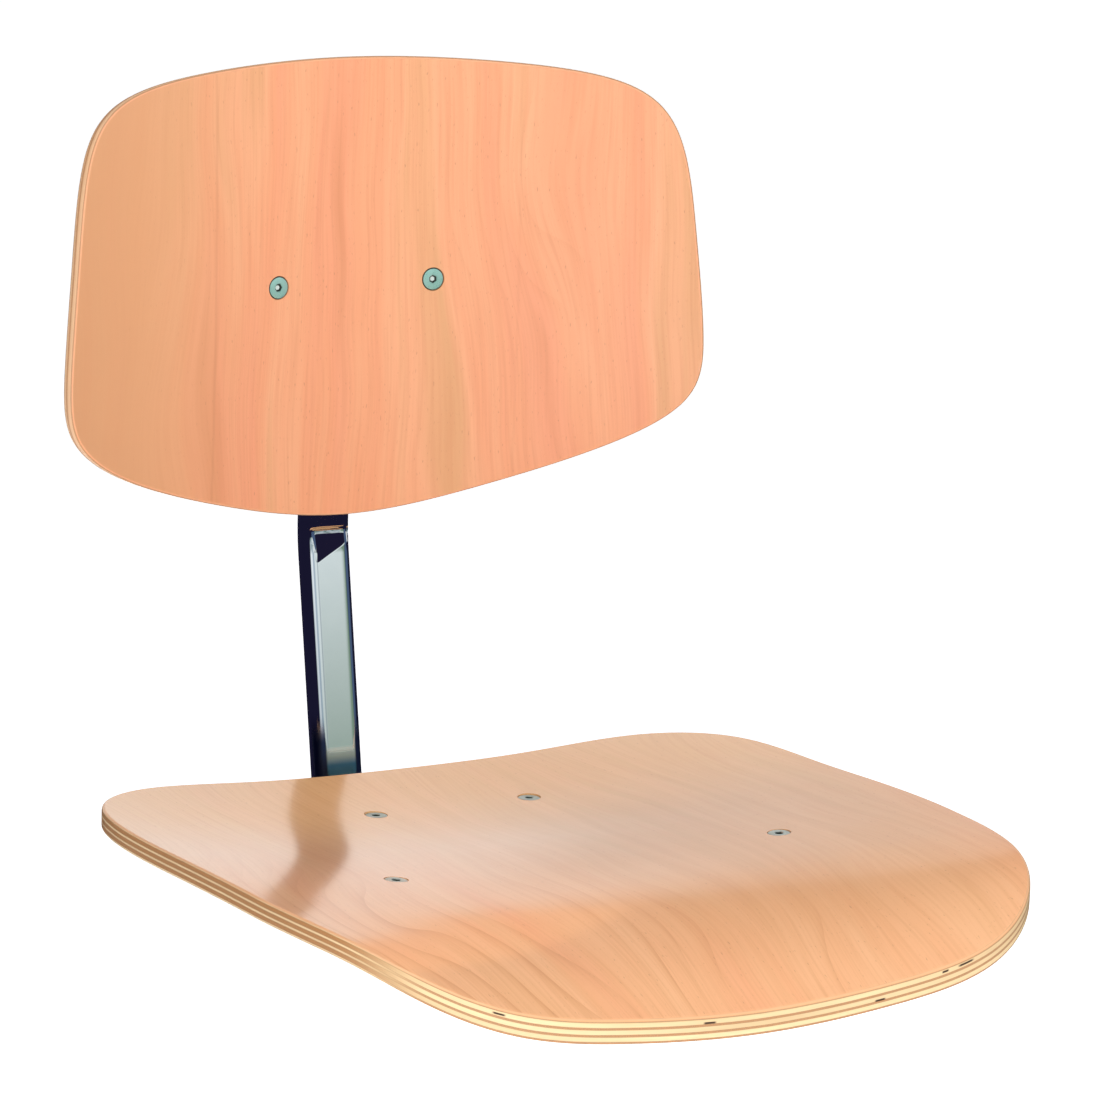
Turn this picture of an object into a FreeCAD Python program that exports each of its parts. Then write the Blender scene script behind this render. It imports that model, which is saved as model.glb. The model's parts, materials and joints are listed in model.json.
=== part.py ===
import FreeCAD, Part
import math
import os

from FreeCAD import Vector as V

os.makedirs("parts", exist_ok=True)

# ---------------------------------------------------------------- driving dimensions (mm, degrees)
# Frame: origin on the axis of the column socket at its lower mouth, +Z up, chair facing -Y, X across.
SEAT_TOP_Z = 84.0          # seat surface above the socket mouth, at the middle of the seat
SEAT_T = 12.0              # seat plywood
SEAT_OUTLINE = [(0.0, 180.9), (87.1, 179.8), (161.4, 175.5), (209.2, 133.0), (219.1, 47.0), (220.0, -68.5),
                (205.1, -171.4), (154.4, -223.0), (82.8, -231.8), (0.0, -233.2)]   # right half, rear to front
SEAT_REAR_Y, SEAT_LENGTH = 180.9, 414.1
SEAT_U = [0.0, 0.12, 0.20, 0.30, 0.42, 0.52, 0.60, 0.66, 0.70, 0.76, 0.82, 0.88, 0.94, 1.0]
# profile along the middle, rear to front: hollow, crown, waterfall edge
SEAT_Z = [2.6, -1.1, -2.6, -1.8, 2.3, 5.6, 7.1, 7.3, 6.8, 4.2, -0.4, -6.6, -15.0, -25.68]
# rise at 200 mm from the middle, at the same stations
DISH_K = [10.4, 12.8, 13.9, 13.9, 12.5, 11.3, 10.8, 10.9, 11.6, 14.0, 17.5, 20.3, 22.0, 24.3]
REAR_SCREW = (50.0, 106.9)
FRONT_SCREW = (120.8, -51.7)

BACK_T = 7.5               # backrest plywood
BACK_OUTLINE = [(0.0, 135.7), (97.0, 131.0), (168.8, 118.2), (200.2, 86.0), (210.3, 30.4), (216.3, -28.8),
                (208.1, -69.5), (161.5, -98.8), (87.5, -122.5), (0.0, -135.8)]      # right half, top to bottom
BACK_R = 394.3             # curve round the sitter
BACK_RV = -2776.0          # slight bulge over the height
BACK_TILT = 0.7
BACK_Y, BACK_Z = 245.9, 277.0 + SEAT_TOP_Z
BACK_SCREW_U, BACK_SCREW_V = 50.9, 3.46

TUBE_W, TUBE_D, TUBE_WALL = 32.0, 16.0, 2.0
LEG_Z = SEAT_TOP_Z - 45.0  # centre line of the lower leg
LEG_FRONT_Y = 45.0
BAR_Y0, BAR_LEAN = 256.48, 10.246   # upright: y at seat level, and its lean to the rear
LOW_BEND_R, TOP_BEND_R = 34.0, 120.0
TOP_BEND_START_Z = SEAT_TOP_Z + 112.0
BAR_TOP_Z = SEAT_TOP_Z + 338.0
RUN = 0.3                  # sliding clearance round the tube

CH_W, CH_T = 64.0, 2.5
CH_TOP = SEAT_TOP_Z - 20.0
CH_DEPTH = 42.5
CH_Y0, CH_Y1 = -75.0, 165.0

SOCKET_R, SOCKET_RO, SOCKET_LEN = 14.0, 19.0, 48.0
GUIDE_Y0, GUIDE_Y1 = 95.0, 165.0
DEPTH_KNOB_Y = 130.0
PIVOT_Z = BACK_Z + 3.5
M6, M8 = 3.0, 4.0          # screw radii
LEVER_X = 24.0             # lever pivot


# ---------------------------------------------------------------- helpers
def natural(xs, ys):
    n = len(xs)
    h = [xs[i + 1] - xs[i] for i in range(n - 1)]
    a = [0.0] * n
    b = [1.0] * n
    c = [0.0] * n
    d = [0.0] * n
    for i in range(1, n - 1):
        a[i] = h[i - 1]
        b[i] = 2 * (h[i - 1] + h[i])
        c[i] = h[i]
        d[i] = 6 * ((ys[i + 1] - ys[i]) / h[i] - (ys[i] - ys[i - 1]) / h[i - 1])
    for i in range(1, n):
        w = a[i] / b[i - 1]
        b[i] -= w * c[i - 1]
        d[i] -= w * d[i - 1]
    m = [0.0] * n
    m[-1] = d[-1] / b[-1]
    for i in range(n - 2, -1, -1):
        m[i] = (d[i] - c[i] * m[i + 1]) / b[i]

    def f(x):
        if x <= xs[0]:
            s = (ys[1] - ys[0]) / h[0] - h[0] * (2 * m[0] + m[1]) / 6
            return ys[0] + s * (x - xs[0])
        if x >= xs[-1]:
            s = (ys[-1] - ys[-2]) / h[-1] + h[-1] * (m[-2] + 2 * m[-1]) / 6
            return ys[-1] + s * (x - xs[-1])
        i = max(k for k in range(n - 1) if xs[k] <= x)
        t = x - xs[i]
        s = (ys[i + 1] - ys[i]) / h[i] - h[i] * (2 * m[i] + m[i + 1]) / 6
        return ys[i] + s * t + m[i] / 2 * t * t + (m[i + 1] - m[i]) / (6 * h[i]) * t ** 3
    return f


def box(x0, x1, y0, y1, z0, z1):
    return Part.makeBox(x1 - x0, y1 - y0, z1 - z0, V(x0, y0, z0))


def cyl(p, d, r, h):
    return Part.makeCylinder(r, h, V(*p), V(*d))


def full(half):
    return half + [(-x, y) for x, y in half[-2:0:-1]]


def loop(points):
    c = Part.BSplineCurve()
    c.interpolate(Points=points, PeriodicFlag=True, Parameters=[float(i) for i in range(len(points) + 1)])
    return Part.Wire([c.toShape()])


def stadium(w, d, centre, ex, ey):
    """Closed flat-oval wire of width w along ex and depth d along ey."""
    r = d / 2.0
    s = w / 2.0 - r
    c = V(*centre)
    ex, ey = V(*ex), V(*ey)
    p = lambda u, v: c + ex * u + ey * v
    e = [Part.LineSegment(p(-s, r), p(s, r)).toShape(),
         Part.Arc(p(s, r), p(s + r, 0), p(s, -r)).toShape(),
         Part.LineSegment(p(s, -r), p(-s, -r)).toShape(),
         Part.Arc(p(-s, -r), p(-s - r, 0), p(-s, r)).toShape()]
    return Part.Wire(e)


def prism(wire, vec):
    return Part.Face(wire).extrude(V(*vec))


def rounded(shape, pick, r):
    edges = [e for e in shape.Edges if pick(e)]
    return shape.makeFillet(r, edges) if edges else shape


def along(axis, tol=1e-6):
    def pick(e):
        if not isinstance(e.Curve, Part.Line):
            return False
        d = e.Vertexes[1].Point - e.Vertexes[0].Point
        return abs(d.normalize().dot(V(*axis))) > 1 - tol
    return pick


def hexagon(af, centre, d, h):
    d = V(*d).normalize()
    a = V(0, 0, 1) if abs(d.z) < 0.9 else V(1, 0, 0)
    ex = d.cross(a).normalize()
    ey = d.cross(ex)
    r = af / math.sqrt(3)
    pts = [V(*centre) + ex * (r * math.cos(math.radians(60 * i))) + ey * (r * math.sin(math.radians(60 * i)))
           for i in range(7)]
    return Part.Face(Part.makePolygon(pts)).extrude(d * h)


def screw_csk(top, d, r, length, head_r):
    """Countersunk screw: centre of the head's face, direction of the shank."""
    top, d = V(*top), V(*d).normalize()
    k = head_r - r
    s = Part.makeCone(head_r, r, k, top + d * 0.5, d)
    s = s.fuse(Part.makeCylinder(head_r, 0.5, top, d))
    s = s.fuse(Part.makeCylinder(r, length - k, top + d * k, d)).removeSplitter()
    return s.cut(hexagon(4.0, top - d * 0.1, d, 2.6))


def csk_hole(top, d, r, head_r, deep):
    top, d = V(*top), V(*d).normalize()
    k = head_r - r
    s = Part.makeCone(head_r, r, k, top + d * 0.5, d)
    s = s.fuse(Part.makeCylinder(head_r, 20.5, top - d * 20, d))
    return s.fuse(Part.makeCylinder(r, deep, top + d * (k - 0.1), d))


def flange_nut(face, d, r):
    face, d = V(*face), V(*d).normalize()
    s = Part.makeCylinder(7.0, 1.2, face, d).fuse(hexagon(10.0, face + d * 1.1, d, 4.9)).removeSplitter()
    return s.cut(Part.makeCylinder(r + 0.05, 8, face - d, d))


def star_knob(centre, d, r, h, lobes=6):
    """Star knob, face towards its screw at centre, growing along d."""
    d = V(*d).normalize()
    c = V(*centre)
    body = Part.makeCylinder(r, h, c, d)
    a = V(1, 0, 0) if abs(d.x) < 0.9 else V(0, 1, 0)
    ex = d.cross(a).normalize()
    ey = d.cross(ex)
    for i in range(lobes):
        t = 2 * math.pi * i / lobes
        q = c + (ex * math.cos(t) + ey * math.sin(t)) * (r + 3.4) - d
        body = body.cut(Part.makeCylinder(6.5, h + 2, q, d))
    rim = [e for e in body.Edges if abs((e.BoundBox.Center - c).dot(d) - h) < 1e-3 and e.Length > 2]
    body = body.makeFillet(1.8, rim)
    return body.fuse(Part.makeCylinder(9.0, 1.0, c - d * 1.0, d)).removeSplitter()


def group(shapes):
    return Part.Compound(shapes)


def save(name, shape):
    solids = shape.Solids
    assert solids and all(s.isValid() and s.Volume > 0 for s in solids), name
    out = solids[0] if len(solids) == 1 else Part.Compound(solids)
    out.exportStep("parts/%s.step" % name)


# ---------------------------------------------------------------- seat
seat_profile = natural(SEAT_U, SEAT_Z)
seat_dish = natural(SEAT_U, DISH_K)


def seat_z(x, y):
    u = (SEAT_REAR_Y - y) / SEAT_LENGTH
    return SEAT_TOP_Z + seat_profile(u) + seat_dish(u) * (x / 200.0) ** 2


def seat_normal(x, y):
    e = 0.5
    gx = (seat_z(x + e, y) - seat_z(x - e, y)) / (2 * e)
    gy = (seat_z(x, y + e) - seat_z(x, y - e)) / (2 * e)
    return V(-gx, -gy, 1).normalize()


def sheet(grid):
    s = Part.BSplineSurface()
    s.interpolate(grid)
    return Part.Face(s)


seat_grid = [[V(-246 + 41 * i, y, seat_z(-246 + 41 * i, y)) for y in [198 - 18.4 * j for j in range(25)]]
             for i in range(13)]
seat_loop = loop([V(x, y, SEAT_TOP_Z - 120) for x, y in full(SEAT_OUTLINE)])
seat_face = sheet(seat_grid).common(prism(seat_loop, (0, 0, 240))).Faces[0]
up = seat_face.normalAt(*[(a + b) / 2 for a, b in (seat_face.ParameterRange[:2], seat_face.ParameterRange[2:])]).z > 0
seat_raw = seat_face.makeOffsetShape(-SEAT_T if up else SEAT_T, 0.01, fill=True)
seat_raw = seat_raw.Solids[0] if seat_raw.Solids else Part.makeSolid(seat_raw.Shells[0])
if seat_raw.Volume < 0:
    seat_raw.reverse()

seat_axes = []
for sx in (1, -1):
    for x, y in (REAR_SCREW, FRONT_SCREW):
        n = seat_normal(sx * x, y)
        n = V(n.x, 0, n.z).normalize() if abs(x) > 100 else V(0, 0, 1)
        top = V(sx * x, y, seat_z(sx * x, y)) - n * 0.35
        seat_axes.append((top, n * -1.0, x > 100))

seat = seat_raw
for top, d, front in seat_axes:
    seat = seat.cut(csk_hole(top, d, M6 + 0.5, 6.7, 20))
save("seat_shell", seat)

# cross arms: the front one rises outwards to follow the dish, the rear one is flat
slope = 2 * seat_dish((SEAT_REAR_Y - FRONT_SCREW[1]) / SEAT_LENGTH) * FRONT_SCREW[0] / 200.0 ** 2
FLAT = 40.0
tip = 138.0
zt = CH_TOP + 3.0
pts = [(-tip, zt + (tip - FLAT) * slope), (-FLAT, zt), (FLAT, zt), (tip, zt + (tip - FLAT) * slope),
       (tip, zt - 3.0 + (tip - FLAT) * slope), (FLAT, zt - 3.0), (-FLAT, zt - 3.0),
       (-tip, zt - 3.0 + (tip - FLAT) * slope)]
pts = [V(x, FRONT_SCREW[1] - 18, z) for x, z in pts]
front_arm = Part.Face(Part.makePolygon(pts + pts[:1])).extrude(V(0, 36, 0))
ends = rounded(box(-tip, tip, FRONT_SCREW[1] - 18, FRONT_SCREW[1] + 18, 0, 150), along((0, 0, 1)), 14.0)
front_arm = front_arm.common(ends)
rear_arm = rounded(box(-70, 70, REAR_SCREW[1] - 20, REAR_SCREW[1] + 20, CH_TOP, zt), along((0, 0, 1)), 10.0)

screws, nuts, pads = [], [], []
pad_tool = seat_raw.copy()
pad_tool.translate(V(0, 0, -0.1))
for top, d, front in seat_axes:
    screws.append(screw_csk(top, d, M6, 27.0 if not front else 34.0, 6.5))
    n = d * -1.0
    if front:
        s = (zt + (abs(top.x) - FLAT) * slope - top.z) / (n.z - math.copysign(1, top.x) * n.x * slope)
    else:
        s = zt - top.z
    seat_on = top + n * s                       # where the screw meets the arm's upper face
    hole = Part.makeCylinder(M6 + 0.4, 60, seat_on + n * 30, d)
    front_arm = front_arm.cut(hole) if front else front_arm
    rear_arm = rear_arm if front else rear_arm.cut(hole)
    nuts.append(flange_nut(seat_on + d * 3.05, d, M6))
    pad = Part.makeCylinder(12.0, 14.0, seat_on + n * 0.05, n).cut(pad_tool).cut(hole)
    pads.append(max(pad.Solids, key=lambda q: q.Volume))
save("seat_screws", group(screws))
save("seat_nuts", group(nuts))
save("seat_pads", group(pads))
save("front_arm", front_arm)
save("rear_arm", rear_arm)

# ---------------------------------------------------------------- carrier under the seat
h = CH_W / 2.0
channel = box(-h, h, CH_Y0, CH_Y1, CH_TOP - CH_DEPTH, CH_TOP)
channel = rounded(channel, lambda e: along((0, 1, 0))(e) and e.BoundBox.ZMin > CH_TOP - 1, 4.0)
inside = box(-h + CH_T, h - CH_T, CH_Y0 - 1, CH_Y1 + 1, CH_TOP - CH_DEPTH - 1, CH_TOP - CH_T)
inside = rounded(inside, lambda e: along((0, 1, 0))(e) and e.BoundBox.ZMin > CH_TOP - CH_T - 1, 1.5)
channel = channel.cut(inside)
lever_z = CH_TOP - 7.0
channel = channel.cut(box(h - CH_T - 1, h + 1, -8.5, 8.5, lever_z - 4.0, lever_z + 4.2))
save("carrier_channel", channel)

inner = h - CH_T
top_plate_z = SOCKET_LEN
socket = cyl((0, 0, 0), (0, 0, 1), SOCKET_RO, SOCKET_LEN).cut(cyl((0, 0, -1), (0, 0, 1), SOCKET_R, SOCKET_LEN + 2))
save("column_socket", socket)
top_plate = box(-inner, inner, -28, 28, top_plate_z, top_plate_z + 3).cut(
    cyl((0, 0, top_plate_z - 1), (0, 0, 1), 9.0, 5))
save("socket_top_plate", top_plate)
floor_z = CH_TOP - CH_DEPTH
floor = box(-inner, inner, -28, 28, floor_z, floor_z + 4).cut(
    cyl((0, 0, floor_z - 1), (0, 0, 1), SOCKET_RO + 0.05, 6))
save("socket_floor_plate", floor)

# release lever of the lift
ears = []
for s in (1, -1):
    y0, y1 = sorted((s * 7.4, s * 10.4))
    ear = box(LEVER_X - 6, LEVER_X + 5, y0, y1, top_plate_z + 3, CH_TOP - CH_T - 0.4)
    ears.append(ear.cut(cyl((LEVER_X, y0 - 1, lever_z), (0, 1, 0), 2.02, 5)))
foot = box(LEVER_X - 6, LEVER_X + 5, -10.4, 10.4, top_plate_z + 3, top_plate_z + 3.8)
save("lever_bracket", ears[0].fuse(ears[1]).fuse(foot).removeSplitter())
save("lever_pin", cyl((LEVER_X, -12.5, lever_z), (0, 1, 0), 2.0, 25.0))

mid = [(-6, lever_z), (62, lever_z), (86, lever_z - 9), (150, lever_z - 9)]
prof = [V(x, -6, z + 2) for x, z in mid] + [V(x, -6, z - 2) for x, z in reversed(mid)]
lever = Part.Face(Part.makePolygon(prof + prof[:1])).extrude(V(0, 12, 0))
for s in (1, -1):
    y0, y1 = sorted((s * 4.0, s * 7.0))
    lever = lever.cut(box(-8, 12, y0, y1, lever_z - 5, lever_z + 5))
lever = lever.fuse(cyl((LEVER_X, -6, lever_z), (0, 1, 0), 3.8, 12))
lever = lever.cut(cyl((LEVER_X, -10, lever_z), (0, 1, 0), 2.05, 20)).removeSplitter()
save("height_lever", lever)
grip = rounded(box(104, 178, -12, 12, lever_z - 9 - 6, lever_z - 9 + 6), lambda e: True, 5.0)
grip = grip.cut(box(100, 150.1, -6.05, 6.05, lever_z - 9 - 2.05, lever_z - 9 + 2.05))
save("lever_grip", grip)

# guide for the lower leg of the bar
LINER = 1.5
iw, idp = TUBE_W + 2 * RUN, TUBE_D + 2 * RUN
ow, odp = iw + 2 * LINER, idp + 2 * LINER
EX, EZ = (1, 0, 0), (0, 0, 1)
guide = rounded(box(-22, 22, GUIDE_Y0, GUIDE_Y1, LEG_Z - 14, LEG_Z + 14), along((0, 1, 0)), 5.0)
for y in (GUIDE_Y0 + 6, GUIDE_Y1 - 10):
    guide = guide.fuse(box(-inner, inner, y, y + 4, LEG_Z - 14, CH_TOP - CH_T))
guide = guide.cut(prism(stadium(ow + 0.1, odp + 0.1, (0, GUIDE_Y0 - 2, LEG_Z), EX, EZ), (0, 80, 0)))
guide = guide.cut(cyl((0, DEPTH_KNOB_Y, LEG_Z - 20), (0, 0, 1), 4.75, 15)).cut(channel).removeSplitter()
save("bar_guide", guide)
liner = prism(stadium(ow, odp, (0, GUIDE_Y0 - 2, LEG_Z), EX, EZ), (0, GUIDE_Y1 + 2 - GUIDE_Y0 + 1, 0))
liner = liner.fuse(prism(stadium(ow + 6, odp + 6, (0, GUIDE_Y1 + 0.05, LEG_Z), EX, EZ), (0, 2.5, 0)))
liner = liner.cut(prism(stadium(iw, idp, (0, GUIDE_Y0 - 4, LEG_Z), EX, EZ), (0, 90, 0)))
liner = liner.cut(cyl((0, DEPTH_KNOB_Y, LEG_Z - 20), (0, 0, 1), 4.85, 15)).removeSplitter()
save("guide_liner", liner)

nut_z = LEG_Z - 14
save("guide_nut", hexagon(13.0, (0, DEPTH_KNOB_Y, nut_z), (0, 0, -1), 6.5).cut(
    cyl((0, DEPTH_KNOB_Y, nut_z - 8), (0, 0, 1), M8 + 0.05, 10)))
bar_low = LEG_Z - TUBE_D / 2.0
pad_z = bar_low - 0.35
save("depth_pad", cyl((0, DEPTH_KNOB_Y, pad_z - 2.6), (0, 0, 1), 4.4, 2.6))
knob_z = nut_z - 6.5 - 3.0
save("depth_screw", cyl((0, DEPTH_KNOB_Y, knob_z - 8.0), (0, 0, 1), M8, pad_z - 2.65 - (knob_z - 8.0)))
knob = star_knob((0, DEPTH_KNOB_Y, knob_z - 1.0), (0, 0, -1), 21.0, 14.0)
save("depth_knob", knob.cut(cyl((0, DEPTH_KNOB_Y, knob_z - 8.05), (0, 0, 1), M8 + 0.02, 20)))

# ---------------------------------------------------------------- back bar
lean = math.radians(BAR_LEAN)
turn = math.pi / 2 - lean
z_end = LEG_Z + LOW_BEND_R * (1 - math.cos(turn))
y_end = BAR_Y0 + math.tan(lean) * (z_end - SEAT_TOP_Z)
y_bend = y_end - LOW_BEND_R * math.sin(turn)
c1 = V(0, y_bend, LEG_Z + LOW_BEND_R)
p0 = V(0, LEG_FRONT_Y, LEG_Z)
p1 = V(0, y_bend, LEG_Z)
p1m = c1 + V(0, math.sin(turn / 2), -math.cos(turn / 2)) * LOW_BEND_R
p2 = V(0, y_end, z_end)
p3 = V(0, BAR_Y0 + math.tan(lean) * (TOP_BEND_START_Z - SEAT_TOP_Z), TOP_BEND_START_Z)
c2 = p3 + V(0, -math.cos(lean), math.sin(lean)) * TOP_BEND_R
p4 = c2 + V(0, TOP_BEND_R, 0)
p3m = c2 + V(0, math.cos(lean / 2), -math.sin(lean / 2)) * TOP_BEND_R
BAR_Y = p4.y
p5 = V(0, BAR_Y, BAR_TOP_Z)
path = Part.Wire([Part.LineSegment(p0, p1).toShape(), Part.Arc(p1, p1m, p2).toShape(),
                  Part.LineSegment(p2, p3).toShape(), Part.Arc(p3, p3m, p4).toShape(),
                  Part.LineSegment(p4, p5).toShape()])


def sweep(w, d):
    return path.makePipeShell([stadium(w, d, p0, EX, EZ)], True, False)


bar = sweep(TUBE_W, TUBE_D)
bore = sweep(TUBE_W - 2 * TUBE_WALL, TUBE_D - 2 * TUBE_WALL)
bar = bar.cut(bore)
# shallow pressed dent on the inside of the upper bend
dent_z = (p3.z + p4.z) / 2 - 4.0
dent = Part.makeSphere(60.0, V(0, BAR_Y - 2.0 - TUBE_D / 2.0 - 60.0 + 1.3, dent_z))
bar = bar.cut(dent)
STOP_Y = LEG_FRONT_Y + 11.0
bar_top_face = LEG_Z + TUBE_D / 2.0
bar = bar.cut(cyl((0, STOP_Y, bar_top_face - 3), (0, 0, 1), 2.55, 6))
save("back_bar", bar)
save("bar_stop_screw", cyl((0, STOP_Y, bar_top_face), (0, 0, 1), 4.5, 2.3).fuse(
    cyl((0, STOP_Y, bar_top_face - 5.0), (0, 0, 1), 2.5, 5.0)).removeSplitter())

PLUG_W, PLUG_D = TUBE_W - 2 * TUBE_WALL - 0.2, TUBE_D - 2 * TUBE_WALL - 0.2
EY = (0, 1, 0)
plug = prism(stadium(TUBE_W, TUBE_D, (0, LEG_FRONT_Y, LEG_Z), EX, EZ), (0, -2.5, 0)).fuse(
    prism(stadium(PLUG_W, PLUG_D, (0, LEG_FRONT_Y, LEG_Z), EX, EZ), (0, 7.0, 0)))
save("bar_end_plug", plug.removeSplitter())
plug = prism(stadium(TUBE_W, TUBE_D, (0, BAR_Y, BAR_TOP_Z), EX, EY), (0, 0, 2.5)).fuse(
    prism(stadium(PLUG_W, PLUG_D, (0, BAR_Y, BAR_TOP_Z), EX, EY), (0, 0, -12.0)))
save("bar_top_plug", plug.removeSplitter())

# ---------------------------------------------------------------- carriage on the bar
CAR_X, CAR_H = 24.0, 22.0
CAR_F = BAR_Y - odp / 2.0 - 4.0
CAR_B = BAR_Y + odp / 2.0 + 4.0
carriage = rounded(box(-CAR_X, CAR_X, CAR_F, CAR_B, PIVOT_Z - CAR_H, PIVOT_Z + CAR_H), along((0, 0, 1)), 4.0)
carriage = carriage.fuse(cyl((0, CAR_B - 1, PIVOT_Z), (0, 1, 0), 10.0, 6.0))
carriage = carriage.cut(prism(stadium(ow + 0.1, odp + 0.1, (0, BAR_Y, PIVOT_Z - 40), EX, EY), (0, 0, 80)))
carriage = carriage.cut(cyl((0, BAR_Y, PIVOT_Z), (0, 1, 0), 4.75, 40))
INS_Y0, INS_Y1 = CAR_B - 0.8, CAR_B + 5.0
carriage = carriage.cut(cyl((0, INS_Y0, PIVOT_Z), (0, 1, 0), 6.02, 10))
for s in (1, -1):
    carriage = carriage.cut(cyl((s * 18.6, BAR_Y, PIVOT_Z), (s, 0, 0), 4.02, 10))
save("carriage", carriage.removeSplitter())
cl = prism(stadium(ow, odp, (0, BAR_Y, PIVOT_Z - CAR_H - 1.5), EX, EY), (0, 0, 2 * CAR_H + 3))
for z in (PIVOT_Z - CAR_H - 1.5, PIVOT_Z + CAR_H + 0.05):
    cl = cl.fuse(prism(stadium(ow + 5, odp + 5, (0, BAR_Y, z), EX, EY), (0, 0, 1.45)))
cl = cl.cut(prism(stadium(iw, idp, (0, BAR_Y, PIVOT_Z - 40), EX, EY), (0, 0, 80)))
cl = cl.cut(cyl((0, BAR_Y, PIVOT_Z), (0, 1, 0), 4.85, 40)).removeSplitter()
save("carriage_liner", cl)
save("carriage_insert", cyl((0, INS_Y0, PIVOT_Z), (0, 1, 0), 6.0, INS_Y1 - INS_Y0).cut(
    cyl((0, INS_Y0 - 1, PIVOT_Z), (0, 1, 0), M8 + 0.05, 10)))
pad_y = BAR_Y + TUBE_D / 2.0 + 0.35
save("height_pad", cyl((0, pad_y, PIVOT_Z), (0, 1, 0), 4.4, 2.2))
hk_y = INS_Y1 + 3.0
save("height_screw", cyl((0, pad_y + 2.25, PIVOT_Z), (0, 1, 0), M8, hk_y + 8.0 - pad_y - 2.25))
knob = star_knob((0, hk_y + 1.0, PIVOT_Z), (0, 1, 0), 21.0, 14.0)
save("height_knob", knob.cut(cyl((0, hk_y - 10, PIVOT_Z), (0, 1, 0), M8 + 0.02, 18.05)))

EAR0, EAR1 = 26.0, 30.0
pins, rings, bushes = [], [], []
for s in (1, -1):
    pin = cyl((s * 18.65, BAR_Y, PIVOT_Z), (s, 0, 0), 4.0, 14.6)
    groove = cyl((s * 30.7, BAR_Y, PIVOT_Z), (s, 0, 0), 5.0, 1.2).cut(
        cyl((s * 30.7, BAR_Y, PIVOT_Z), (s, 0, 0), 3.2, 1.2))
    pins.append(pin.cut(groove))
    ring = cyl((s * 30.75, BAR_Y, PIVOT_Z), (s, 0, 0), 7.0, 1.1).cut(
        cyl((s * 30, BAR_Y, PIVOT_Z), (s, 0, 0), 3.22, 3))
    x0, x1 = sorted((s * 30, s * 33))
    rings.append(ring.cut(box(x0, x1, BAR_Y - 2.2, BAR_Y + 2.2, PIVOT_Z - 10, PIVOT_Z)))
    bush = cyl((s * EAR0, BAR_Y, PIVOT_Z), (s, 0, 0), 6.0, EAR1 - EAR0).fuse(
        cyl((s * (EAR0 - 1.4), BAR_Y, PIVOT_Z), (s, 0, 0), 8.5, 1.4))
    bushes.append(bush.cut(cyl((s * 20, BAR_Y, PIVOT_Z), (s, 0, 0), 4.05, 15)).removeSplitter())
save("pivot_pins", group(pins))
save("pivot_rings", group(rings))
save("pivot_bushes", group(bushes))
save("tilt_buffers", group([cyl((0, CAR_F, PIVOT_Z + 15), (0, -1, 0), 6.0, 3.2),
                            cyl((0, CAR_F, PIVOT_Z - 15), (0, -1, 0), 6.0, 5.4)]))

# ---------------------------------------------------------------- backrest
tilt = math.radians(BACK_TILT)


def back_point(u, v, off=0.0):
    th = u / BACK_R
    fwd = BACK_R * (1 - math.cos(th)) + 0.5 * v * v / BACK_RV
    x = BACK_R * math.sin(th) + off * math.sin(th)
    ly = -fwd + off * math.cos(th)
    return V(x, ly * math.cos(tilt) + v * math.sin(tilt) + BACK_Y, -ly * math.sin(tilt) + v * math.cos(tilt) + BACK_Z)


back_grid = [[back_point(-240 + 30 * i, -156 + 26 * j) for j in range(13)] for i in range(17)]
outline = []
for u, v in full(BACK_OUTLINE):
    p = back_point(u, v)
    outline.append(V(p.x, BACK_Y - 200, p.z))
back_face = sheet(back_grid).common(prism(loop(outline), (0, 400, 0))).Faces[0]
rear = back_face.normalAt(*[(a + b) / 2 for a, b in
                            (back_face.ParameterRange[:2], back_face.ParameterRange[2:])]).y > 0
back_raw = back_face.makeOffsetShape(BACK_T if rear else -BACK_T, 0.01, fill=True)
back_raw = back_raw.Solids[0] if back_raw.Solids else Part.makeSolid(back_raw.Shells[0])
if back_raw.Volume < 0:
    back_raw.reverse()

plate_in = BACK_R + BACK_T + 0.25
PLATE_T = 3.5
HALF = 17.0
strip = cyl((0, BACK_Y - BACK_R, PIVOT_Z - HALF), (0, 0, 1), plate_in + PLATE_T, 2 * HALF).cut(
    cyl((0, BACK_Y - BACK_R, PIVOT_Z - HALF - 1), (0, 0, 1), plate_in, 2 * HALF + 2))
mask = rounded(box(-68, 68, BACK_Y - 40, BACK_Y + 60, PIVOT_Z - HALF, PIVOT_Z + HALF), along((0, 1, 0)), 12.0)
strip = strip.common(mask)
strip.rotate(V(0, BACK_Y, BACK_Z), V(1, 0, 0), -BACK_TILT)
bracket = strip
plate_rear = BACK_Y + BACK_T + 0.25 + PLATE_T
for s in (1, -1):
    x0, x1 = sorted((s * EAR0, s * EAR1))
    ear = box(x0, x1, plate_rear - 2.6, BAR_Y, PIVOT_Z - 11.0, PIVOT_Z + 11.0).fuse(
        cyl((x0, BAR_Y, PIVOT_Z), (1, 0, 0), 11.0, x1 - x0))
    bracket = bracket.fuse(ear)
for s in (1, -1):
    bracket = bracket.cut(cyl((s * (EAR0 - 2), BAR_Y, PIVOT_Z), (s, 0, 0), 6.02, 10))

back = back_raw
b_screws, b_nuts = [], []
th = BACK_SCREW_U / BACK_R
for s in (1, -1):
    p = back_point(s * BACK_SCREW_U, BACK_SCREW_V)
    d = V(s * math.sin(th), math.cos(th) * math.cos(tilt), -math.cos(th) * math.sin(tilt)).normalize()
    top = p + d * 0.3
    back = back.cut(csk_hole(top, d, M6 + 0.5, 6.9, 14))
    bracket = bracket.cut(Part.makeCylinder(M6 + 0.4, 40, p - d * 10, d))
    b_screws.append(screw_csk(top, d, M6, 20.0, 6.7))
    b_nuts.append(flange_nut(p + d * (BACK_T + 0.25 + PLATE_T + 0.08), d, M6))
save("backrest_shell", back)
save("backrest_bracket", bracket.removeSplitter())
save("backrest_screws", group(b_screws))
save("backrest_nuts", group(b_nuts))
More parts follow.
